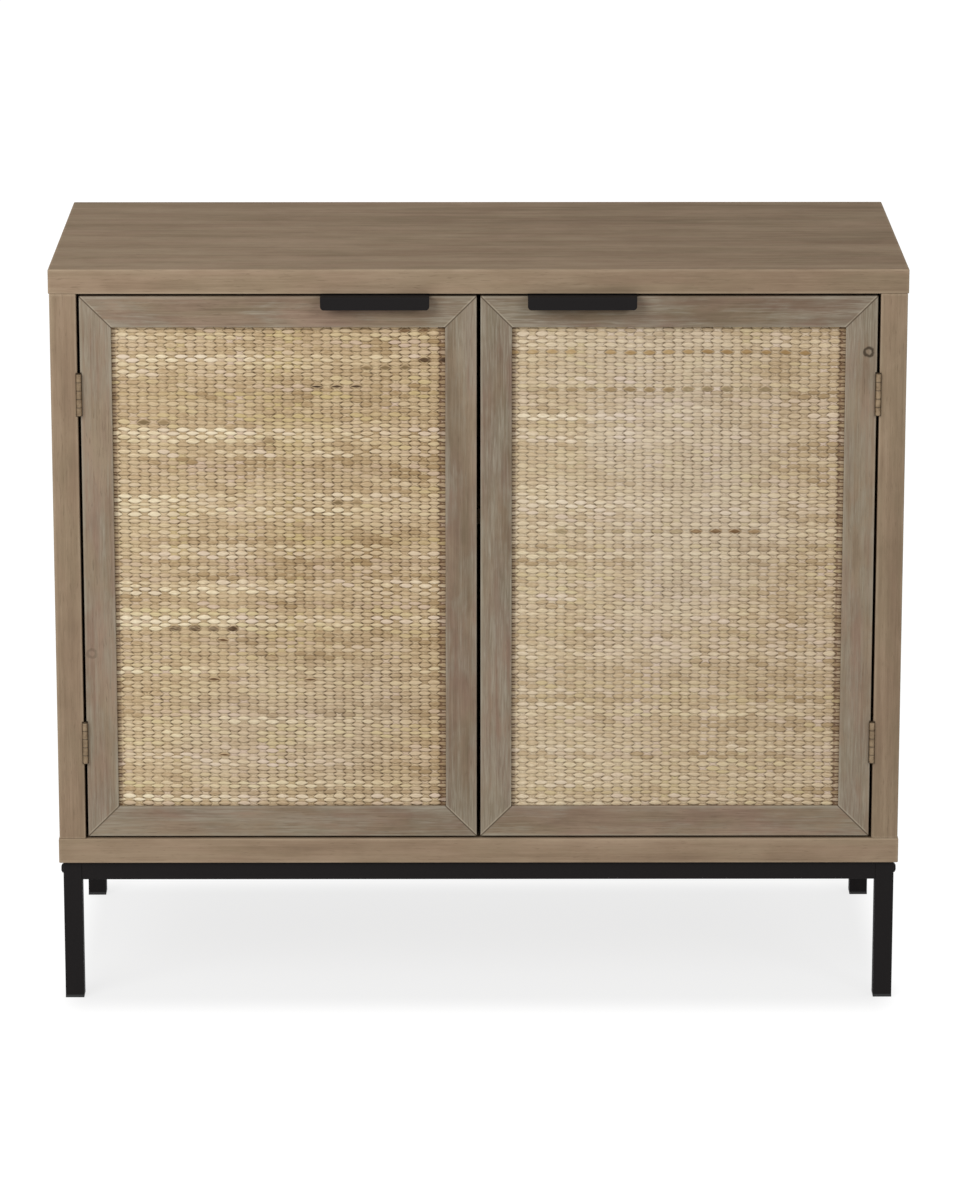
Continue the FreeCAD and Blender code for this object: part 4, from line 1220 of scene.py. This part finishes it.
@dataclass
class Carcass:
    """The box: four boards, the back, the shelf and what is pegged into them."""

    # Each board's grain, place in the log, tone and painted light slope; the tone is partly, and
    # the slope wholly, painted light.
    boards: tuple[tuple[str, Run, float, float, float], ...] = (
        ("top_panel", Run.ACROSS, 3.1, 0.05, -0.15),
        ("bottom_panel", Run.ACROSS, 8.7, 0.07, 0.0),
        ("left_side_panel", Run.UPRIGHT, 14.3, 0.02, 0.1),
        ("right_side_panel", Run.UPRIGHT, 21.9, -0.08, 0.0),
        ("shelf", Run.ACROSS, 27.2, 0.0, 0.0),
    )
    back_log_place: float = 33.4
    dowel_log_place: float = 1.7

    def dress(self) -> None:
        """Gives each board its own cut of the stained wood."""
        for node, grain, *cut in self.boards:
            name = f"stained_wood_{node}"
            wood = StainedWood(name, grain, CARCASS_STAIN, *cut, corners=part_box(node))
            dress(node, wood.material())
            LOG.info("dressed %s", node)
        back = StainedWood("veneered_board_back", Run.UPRIGHT, BACK_STAIN, self.back_log_place)
        dress("back_panel", back.material())
        beech = StainedWood("bare_beech_dowel", Run.ACROSS, BEECH, self.dowel_log_place).material()
        for node in ("carcass_dowels", "shelf_pins"):
            dress(node, beech)
        LOG.info("dressed back_panel, carcass_dowels and shelf_pins")


@dataclass
class Hardware:
    """The base, hinges, catches and fixings."""

    knuckles: int = 5

    def dress_hinges(self) -> None:
        """Gives each hinge leaf the plating with the shade of its own joints."""
        for place in ("upper", "lower"):
            low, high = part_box(f"left_{place}_frame_leaf")
            joints = (low.z, (high.z - low.z) / self.knuckles)
            name = f"{ANTIQUE_PLATE.name}_{place}"
            plate = replace(ANTIQUE_PLATE, name=name, joints=joints).material()
            for side in Side:
                for leaf in ("frame_leaf", "door_leaf"):
                    dress(f"{side.name.lower()}_{place}_{leaf}", plate)
        LOG.info("dressed the hinge leaves")

    def dress(self) -> None:
        """Gives every metal and plastic part its finish by the record's slots."""
        finishes = {
            "black_steel": POWDER_COAT.material(),
            "hinge_metal": ANTIQUE_PLATE.material(),
            "screw_steel": ZINC_PLATE.material(),
            "black_plastic": MOULDED_BLACK.material(),
            "magnet": FERRITE.material(),
        }
        for part in frame["record"]["subparts"]:
            finish = finishes.get(part["material_slot"])
            if finish:
                dress(part["node"], finish)
        LOG.info("dressed the base, catches and fixings")
        self.dress_hinges()


def with_mirror(rings: tuple[Triple, ...]) -> tuple[Triple, ...]:
    """Adds the second half of a period, which mirrors the first.

    Args:
        rings: the rings from the middle of a dip to the crown, as shares.

    Returns:
        The rings from dip to dip.
    """
    back = tuple((1 - place, lift, width) for place, lift, width in rings[-2::-1])
    return rings + back


@dataclass
class WovenPanel:
    """One door's cane: flat weft strands over and under flat upright strands."""

    peel: RattanPeel
    dark_runs: tuple[tuple[float, float, float, PeelTone], ...]
    sight_width: float = 350 * MM
    sight_height: float = 522.5 * MM
    sight_middle_z: float = 476.75 * MM
    tucked: float = 4 * MM
    column_pitch: float = 10.2 * MM
    row_pitch: float = 3.94 * MM
    lift: float = 0.5 * MM
    strand_half: float = 0.45 * MM
    upright_half_width: float = 5.05 * MM
    columns: int = 35
    section_sides: int = 6
    merge_gap: float = 0.01 * MM

    # Hand weaving, in millimetres: the way that strands stray, how far, and over what width and
    # height it changes.
    drifts: tuple[tuple[str, float, float, float], ...] = (
        ("Z", 2.6, 95, 95),
        ("Z", 2.6, 230, 7),
        ("Z", 1.5, 15, 15),
        ("X", 2.6, 60, 60),
        ("X", 2.4, 12, 9),
        ("NORMAL", 0.5, 9, 9),
    )

    # Rings of one strand, from the middle of a dip to its crown: place along the period, lift
    # towards the front, and half width as a share of the row pitch for a row, and of its own for an
    # upright. The uprights are notched where they cross over a row, so that the row's float ends in
    # a point.
    weft_ring_shares: tuple[Triple, ...] = (
        (0.0, -1.0, 0.7),
        (0.12, -0.9, 0.5),
        (0.17, 0.1, 0.16),
        (0.31, 0.82, 0.52),
        (0.5, 1.0, 0.74),
    )
    upright_ring_shares: tuple[Triple, ...] = (
        (0.0, -1.0, 1.05),
        (0.14, -0.8, 1.12),
        (0.25, -0.3, 1.18),
        (0.36, 0.2, 0.88),
        (0.5, 1.0, 0.56),
    )

    @property
    def body(self) -> str:
        """The door that the panel rides on."""
        return self.peel.side.door

    @property
    def low(self) -> float:
        """The height that the rows are counted from."""
        return self.sight_middle_z - self.sight_height / 2 - self.tucked

    @property
    def first_column(self) -> float:
        """The place of the first upright."""
        return self.peel.middle_x - (self.columns - 1) / 2 * self.column_pitch

    @property
    def row_pairs(self) -> int:
        """How many pairs of rows the opening takes."""
        return math.floor((self.sight_height + 2 * self.tucked) / (2 * self.row_pitch))

    def row_height(self, row: int) -> float:
        """The height of a row's middle."""
        return self.low + self.row_pitch * (row + MIDDLE)

    def row_begin(self, parity: Parity) -> float:
        """Finds the middle of a row's first dip, which is left of the opening.

        Args:
            parity: which rows they are.

        Returns:
            Its x.
        """
        begin = self.first_column + (parity.value - 1) * self.column_pitch
        while begin > self.peel.middle_x - self.sight_width / 2 - self.tucked:
            begin -= 2 * self.column_pitch
        return begin

    def strand_unit(
        self,
        name: str,
        run: Run,
        period: float,
        half_width: float,
        rings: tuple[Triple, ...],
        start: Vector,
    ) -> Piece:
        """Models one period of a strand, ring by ring.

        Args:
            name: the piece's name.
            run: the axis that the strand follows.
            period: the strand's length from dip to dip.
            half_width: half of the strand's full width.
            rings: place, lift and width of each ring, as shares.
            start: the middle of the first ring, with no lift.

        Returns:
            The open strand, at the origin with its place in its mesh.
        """
        quarter = math.pi / 2
        turn = (0.0 if run is Run.UPRIGHT else quarter, 0.0, quarter)
        _, first_lift, first_width = rings[0]
        middle = start + Vector((0.0, -first_lift * self.lift, 0.0))
        bpy.ops.object.select_all(action="DESELECT")
        bpy.ops.mesh.primitive_circle_add(
            vertices=self.section_sides, radius=half_width, location=middle, rotation=turn
        )
        unit = bpy.context.object
        unit.name = name
        bpy.ops.object.transform_apply(location=True, rotation=True, scale=True)
        bpy.ops.object.mode_set(mode="EDIT")
        bpy.ops.mesh.select_all(action="SELECT")
        section_half = half_width * math.sin(2 * math.pi / self.section_sides)
        widen = Vector((1.0, self.strand_half / section_half, 1.0))
        widen[run.beside] = first_width
        bpy.ops.transform.resize(value=widen, center_override=middle)
        for before, after in zip(rings, rings[1:]):
            step = Vector((0.0, -(after[1] - before[1]) * self.lift, 0.0))
            step[run.value] = (after[0] - before[0]) * period
            middle = middle + step
            bpy.ops.mesh.extrude_region_move(TRANSFORM_OT_translate={"value": step})
            widen = Vector((1.0, 1.0, 1.0))
            widen[run.beside] = after[2] / before[2]
            bpy.ops.transform.resize(value=widen, center_override=middle)
        bpy.ops.object.mode_set(mode="OBJECT")
        half_widths = [(place, width * half_width) for place, _, width in rings]
        self.map_strand(unit, run, period, start, half_widths)
        return unit

    def map_strand(
        self,
        unit: Piece,
        run: Run,
        period: float,
        start: Vector,
        half_widths: list[Pair],
    ) -> None:
        """Gives a strand a map: periods along it, and a share of one from edge to edge.

        Args:
            unit: the strand.
            run: the axis that it follows.
            period: its length from dip to dip.
            start: the middle of its first ring.
            half_widths: each ring's place along the period and its half width.
        """
        mesh = unit.data
        for layer in list(mesh.uv_layers):
            mesh.uv_layers.remove(layer)
        layer = mesh.uv_layers.new(name=STRAND_UV)
        for loop in mesh.loops:
            offset = mesh.vertices[loop.vertex_index].co - start
            along = offset[run.value] / period
            _, half_width = min(half_widths, key=lambda ring: abs(ring[0] - along))
            across = MIDDLE + STRAND_UV_HALF_SHARE * offset[run.beside] / half_width
            layer.data[loop.index].uv = (along, across)

    def spread(
        self,
        unit: Piece,
        run: Run,
        along: tuple[int, float],
        beside: tuple[int, float],
        ends: Pair,
    ) -> None:
        """Repeats a strand along itself, cuts its ends off and repeats it beside itself.

        Args:
            unit: the strand of one period.
            run: the axis that it follows.
            along: how many periods it has, and their length.
            beside: how many strands lie beside it, and their pitch.
            ends: the places where it is cut.
        """
        forward = Vector()
        forward[run.value] = 1.0
        sideways = Vector()
        sideways[run.beside] = 1.0
        count, period = along
        joined = {"use_merge_vertices": True, "merge_threshold": self.merge_gap, "offset_u": 1.0}
        self.repeat(unit, count, forward * period, **joined)
        bpy.ops.object.mode_set(mode="EDIT")
        for end, outward in zip(ends, (-forward, forward)):
            bpy.ops.mesh.select_all(action="SELECT")
            bpy.ops.mesh.bisect(
                plane_co=forward * end, plane_no=outward, use_fill=True, clear_outer=True
            )
        bpy.ops.mesh.select_all(action="SELECT")
        bpy.ops.mesh.normals_make_consistent(inside=False)
        bpy.ops.object.mode_set(mode="OBJECT")
        count, pitch = beside
        self.repeat(unit, count, sideways * pitch, offset_v=1.0)

    def repeat(self, unit: Piece, count: int, step: Vector, **settings: object) -> None:
        """Repeats a piece in a straight line.

        Args:
            unit: the piece.
            count: how many there are.
            step: the way from one to the next.
            settings: more of the modifier's properties.
        """
        apply_modifier(
            unit,
            "ARRAY",
            count=count,
            use_relative_offset=False,
            use_constant_offset=True,
            constant_offset_displace=step,
            **settings,
        )

    def loosen(self, strands: Piece) -> None:
        """Lets the rows and columns wander and the strands swell, as hand weaving does.

        Args:
            strands: the woven strands.
        """
        for direction, strength, across, up in self.drifts:
            bpy.ops.object.select_all(action="DESELECT")
            bpy.ops.object.empty_add()
            stretch = bpy.context.object
            stretch.scale = (across * MM, across * MM, up * MM)
            bpy.context.view_layer.update()
            drift = bpy.data.textures.new(f"weave_drift_{direction.lower()}", "CLOUDS")
            drift.noise_scale = 1.0
            drift.noise_depth = 1
            apply_modifier(
                strands,
                "DISPLACE",
                texture=drift,
                texture_coords="OBJECT",
                texture_coords_object=stretch,
                direction=direction,
                strength=strength * MM,
                mid_level=MIDDLE,
            )
            bpy.data.textures.remove(drift)
            bpy.data.objects.remove(stretch)

    def weave_rows(self, parity: Parity) -> Piece:
        """Weaves every second row.

        Args:
            parity: which rows they are.

        Returns:
            The rows as one piece.
        """
        period = 2 * self.column_pitch
        reach = self.sight_width / 2 + self.tucked
        ends = (self.peel.middle_x - reach, self.peel.middle_x + reach)
        begin = self.row_begin(parity)
        start = Vector((begin, SHEET_MIDDLE_Y, self.row_height(parity.value)))
        name = f"{self.body}_cane_{parity.name.lower()}_rows"
        rings = with_mirror(self.weft_ring_shares)
        rows = self.strand_unit(name, Run.ACROSS, period, self.row_pitch, rings, start)
        floats = math.ceil((ends[1] - begin) / period)
        beside = (self.row_pairs, 2 * self.row_pitch)
        self.spread(rows, Run.ACROSS, (floats, period), beside, ends)
        return rows

    def weave_uprights(self, parity: Parity) -> Piece:
        """Weaves every second upright, which dips under the rows of its own parity.

        Args:
            parity: which uprights they are.

        Returns:
            The uprights as one piece.
        """
        period = 2 * self.row_pitch
        ends = (self.low, self.low + self.sight_height + 2 * self.tucked)
        place = self.first_column + parity.value * self.column_pitch
        start = Vector((place, SHEET_MIDDLE_Y, self.row_height(parity.value - 2)))
        name = f"{self.body}_cane_{parity.name.lower()}_uprights"
        rings = with_mirror(self.upright_ring_shares)
        half_width = self.upright_half_width
        uprights = self.strand_unit(name, Run.UPRIGHT, period, half_width, rings, start)
        beside = ((self.columns + 1 - parity.value) // 2, 2 * self.column_pitch)
        self.spread(uprights, Run.UPRIGHT, (self.row_pairs + 1, period), beside, ends)
        return uprights

    def stain(self, rows: Piece, parity: Parity, finishes: list[Material]) -> None:
        """Gives the rows their materials, with the few dark lengths of peel.

        Args:
            rows: the woven rows.
            parity: which rows they are.
            finishes: the plain peel and then its darker tones.
        """
        for finish in finishes:
            rows.data.materials.append(finish)
        period = 2 * self.column_pitch
        begin = self.row_begin(parity)
        hidden, _, _ = self.weft_ring_shares[1]
        for left, right, height, tone in self.dark_runs:
            row = round((height * MM - self.row_height(0)) / self.row_pitch)
            if row % 2 != parity.value:
                continue
            first = math.ceil((left * MM - begin) / period - MIDDLE)
            last = math.floor((right * MM - begin) / period - MIDDLE)
            start = begin + (first + hidden) * period
            end = begin + (last + 1 - hidden) * period
            for face in rows.data.polygons:
                in_row = abs(face.center.z - self.row_height(row)) < self.row_pitch
                if in_row and start < face.center.x < end:
                    face.material_index = 1 + list(PeelTone).index(tone)

    def build(self) -> None:
        """Weaves the panel and hangs it in its door."""
        pieces = []
        finishes = [self.peel.material()]
        finishes += [self.peel.toned(tone).material() for tone in PeelTone]
        for parity in Parity:
            rows = self.weave_rows(parity)
            self.stain(rows, parity, finishes)
            pieces.append(rows)
        upright_finish = self.peel.for_uprights().material()
        for parity in Parity:
            uprights = self.weave_uprights(parity)
            uprights.data.materials.append(upright_finish)
            pieces.append(uprights)
        for piece in pieces:
            self.loosen(piece)
            select_only(piece)
            bpy.ops.object.shade_smooth()
            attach(piece, self.body)
            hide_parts(f"{self.body}_cane")
            LOG.info("wove %s: %d faces", piece.name, len(piece.data.polygons))


@dataclass
class Door:
    """One door: a mitred frame, its beads and its woven panel."""

    side: Side
    panel: WovenPanel

    # The place in the log of its first member, and the step from one member to the next.
    log_place: float
    tones: tuple[Triple, ...]
    knot: Triple
    log_step: float = 5.7

    members: tuple[tuple[str, Run], ...] = (
        ("hinge_stile", Run.UPRIGHT),
        ("meeting_stile", Run.UPRIGHT),
        ("top_rail", Run.ACROSS),
        ("bottom_rail", Run.ACROSS),
        ("beads", Run.UPRIGHT),
    )

    @property
    def body(self) -> str:
        """The door's name in the frame."""
        return self.side.door

    def mitres(self, member: str) -> tuple[Pair, ...]:
        """Finds the mitre lines that end one member of the frame.

        Args:
            member: the member's name.

        Returns:
            For each line, what x is multiplied by and what that and z add up to.
        """
        lines = []
        sign = self.side.value
        hinge_low, hinge_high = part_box(f"{self.body}_hinge_stile")
        meeting_low, meeting_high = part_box(f"{self.body}_meeting_stile")
        hinge_edge = hinge_low[0] if sign < 0 else hinge_high[0]
        meeting_edge = meeting_high[0] if sign < 0 else meeting_low[0]
        levels = (("top", hinge_high[2], -1), ("bottom", hinge_low[2], 1))
        ends = (("hinge", hinge_edge, -sign), ("meeting", meeting_edge, sign))
        for level, height, rise in levels:
            for end, edge, inward in ends:
                if level in member or end in member:
                    slope = -rise * inward
                    lines.append((slope, slope * edge + height))
        return tuple(lines)

    def dress(self) -> None:
        """Gives each member of the frame its own cut of the brushed wood."""
        body = self.body
        for place, (member, grain) in enumerate(self.members):
            wood = StainedWood(
                f"brushed_wood_{body}_{member}",
                grain,
                DOOR_STAIN,
                self.log_place + self.log_step * place,
                *self.tones[place],
                knot=self.knot if member == "hinge_stile" else None,
                mitres=self.mitres(member),
                corners=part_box(f"{body}_{member}"),
            )
            dress(f"{body}_{member}", wood.material())
        keys = StainedWood(f"bare_beech_{body}_keys", Run.ACROSS, BEECH, self.log_place)
        dress(f"{body}_mitre_keys", keys.material())
        LOG.info("dressed the frame of the %s", body)

    def build(self) -> None:
        """Dresses the frame and weaves the panel."""
        self.dress()
        self.panel.build()


@dataclass
class Studio:
    """White floor, soft lamps and the camera."""

    # The floor's real grey, and its grey and glow to the eye, which keep the shadow pale; the glow
    # is dimmed under the cabinet as a painted shadow.
    floor_width: float = 60.0
    floor_drop: float = 0.3 * MM
    floor_grey: float = 0.8
    floor_shade: float = 0.14
    painted_shadow_glow: float = 0.79
    sky_light: float = 0.4

    # A painted shadow lies between the legs: how far from the middle it starts to fade and ends.
    painted_shadow_fades: tuple[tuple[str, float, float], ...] = (("X", 0.42, 0.475), ("Y", 0.18, 0.29))

    focal_px: float = 5459.5
    camera_place: Triple = (-0.013, -5.8, 1.874)
    camera_pitch: float = 14.31
    camera_yaw: float = 0.148

    # Each lamp: name, place, width and watts.
    lamps: tuple[tuple[str, Triple, float, float], ...] = (
        ("front_right_softbox", (2.4, -3.2, 2.3), 1.2, 34.0),
        ("front_left_softbox", (-1.9, -2.4, 2.2), 1.8, 60.0),
    )
    lamp_target: Triple = (0.0, 0.0, 0.45)

    def seen_directly(self, tree: Tree) -> Socket:
        """Adds a switch for what the camera sees, straight or in a reflection.

        Args:
            tree: the node tree.

        Returns:
            The socket that is one for such rays.
        """
        path = add_node(tree, "LightPath").node.outputs
        rays = ("Is Camera Ray", "Is Glossy Ray", "Is Transmission Ray")
        total = weighted_sum(tree, 0.0, [(path[ray], 1.0) for ray in rays])
        return add_node(tree, "Clamp", links={"Value": total})

    def build_floor(self) -> None:
        """Lays the floor, which looks white and keeps a pale shadow, partly painted between the
        legs.
        """
        bpy.ops.object.select_all(action="DESELECT")
        bpy.ops.mesh.primitive_plane_add(
            size=self.floor_width, location=(0.0, 0.0, -self.floor_drop)
        )
        floor = bpy.context.object
        floor.name = "studio_floor"
        bpy.ops.object.transform_apply(location=True, rotation=True, scale=True)
        material = bpy.data.materials.new("matt_white_paper_floor")
        tree = empty_tree(material)
        plain, shadowed = (
            add_node(tree, "BsdfDiffuse", {"Color": (grey, grey, grey, 1.0)})
            for grey in (self.floor_grey, self.floor_shade)
        )
        place = add_node(tree, "TexCoord", output="Object")
        size = add_node(tree, "VectorMath", {"operation": "ABSOLUTE"}, {0: place})
        sides = add_node(tree, "SeparateXYZ", links={0: size}).node.outputs
        fades = {}
        for count, (axis, near, far) in enumerate(self.painted_shadow_fades):
            fade = {"interpolation_type": "SMOOTHSTEP", "range": (near, far, 1.0, 0.0)}
            fades[count] = add_node(tree, "MapRange", fade, {0: sides[axis]})
        # Painted shadow: the floor's glow is dimmed between the legs.
        under = add_node(tree, "Math", {"operation": "MULTIPLY"}, fades)
        dimmed = {"range": (0.0, 1.0, 1.0, self.painted_shadow_glow)}
        level = add_node(tree, "MapRange", dimmed, {0: under})
        glow = add_node(tree, "Emission", {"Color": WHITE}, {"Strength": level})
        white = add_node(tree, "AddShader", links={0: shadowed, 1: glow})
        switch = {0: self.seen_directly(tree), 1: plain, 2: white}
        surface = add_node(tree, "MixShader", links=switch)
        add_node(tree, "OutputMaterial", links={"Surface": surface})
        floor.data.materials.append(material)

    def build_sky(self) -> None:
        """Makes the world white to the eye and a soft light to the object."""
        world = bpy.data.worlds.new("white_studio")
        bpy.context.scene.world = world
        tree = empty_tree(world)
        soft, white = (
            add_node(tree, "Background", {"Color": WHITE, "Strength": strength})
            for strength in (self.sky_light, 1.0)
        )
        switch = {0: self.seen_directly(tree), 1: soft, 2: white}
        both = add_node(tree, "MixShader", links=switch)
        add_node(tree, "OutputWorld", links={"Surface": both})

    def build_lamps(self) -> None:
        """Hangs the soft lamps."""
        for name, place, width, watts in self.lamps:
            aim = Vector(self.lamp_target) - Vector(place)
            turn = aim.to_track_quat("-Z", "Y").to_euler()
            bpy.ops.object.light_add(type="AREA", location=place, rotation=turn)
            lamp = bpy.context.object
            lamp.name = name
            lamp.data.size = width
            lamp.data.energy = watts

    def build_camera(self) -> None:
        """Sets the camera where the photograph was taken from."""
        turn = (math.radians(90.0 - self.camera_pitch), 0.0, math.radians(-self.camera_yaw))
        bpy.ops.object.camera_add(location=self.camera_place, rotation=turn)
        camera = bpy.context.object
        camera.name = "photograph_camera"
        camera.data.sensor_width = FILM_WIDTH_MM
        camera.data.lens = self.focal_px / IMAGE_HEIGHT_PX * FILM_WIDTH_MM
        camera.data.clip_end = 2 * self.floor_width
        bpy.context.scene.camera = camera

    def build(self) -> None:
        """Builds the whole studio."""
        bpy.context.scene.view_settings.view_transform = "Standard"
        self.build_floor()
        self.build_sky()
        self.build_lamps()
        self.build_camera()
        LOG.info("set up the studio")


def main() -> None:
    """Builds the cabinet's looks in order."""
    logging.basicConfig(level=logging.INFO, format="%(name)s: %(message)s")
    Carcass().dress()
    Hardware().dress()
    left_panel = WovenPanel(LEFT_PEEL, LEFT_DARK_RUNS)
    right_panel = WovenPanel(RIGHT_PEEL, RIGHT_DARK_RUNS)
    Door(Side.LEFT, left_panel, LEFT_LOG_PLACE, LEFT_TONES, FAINT_KNOT).build()
    Door(Side.RIGHT, right_panel, RIGHT_LOG_PLACE, RIGHT_TONES, CLEAR_KNOT).build()
    Studio().build()


if __name__ == "__main__":
    main()
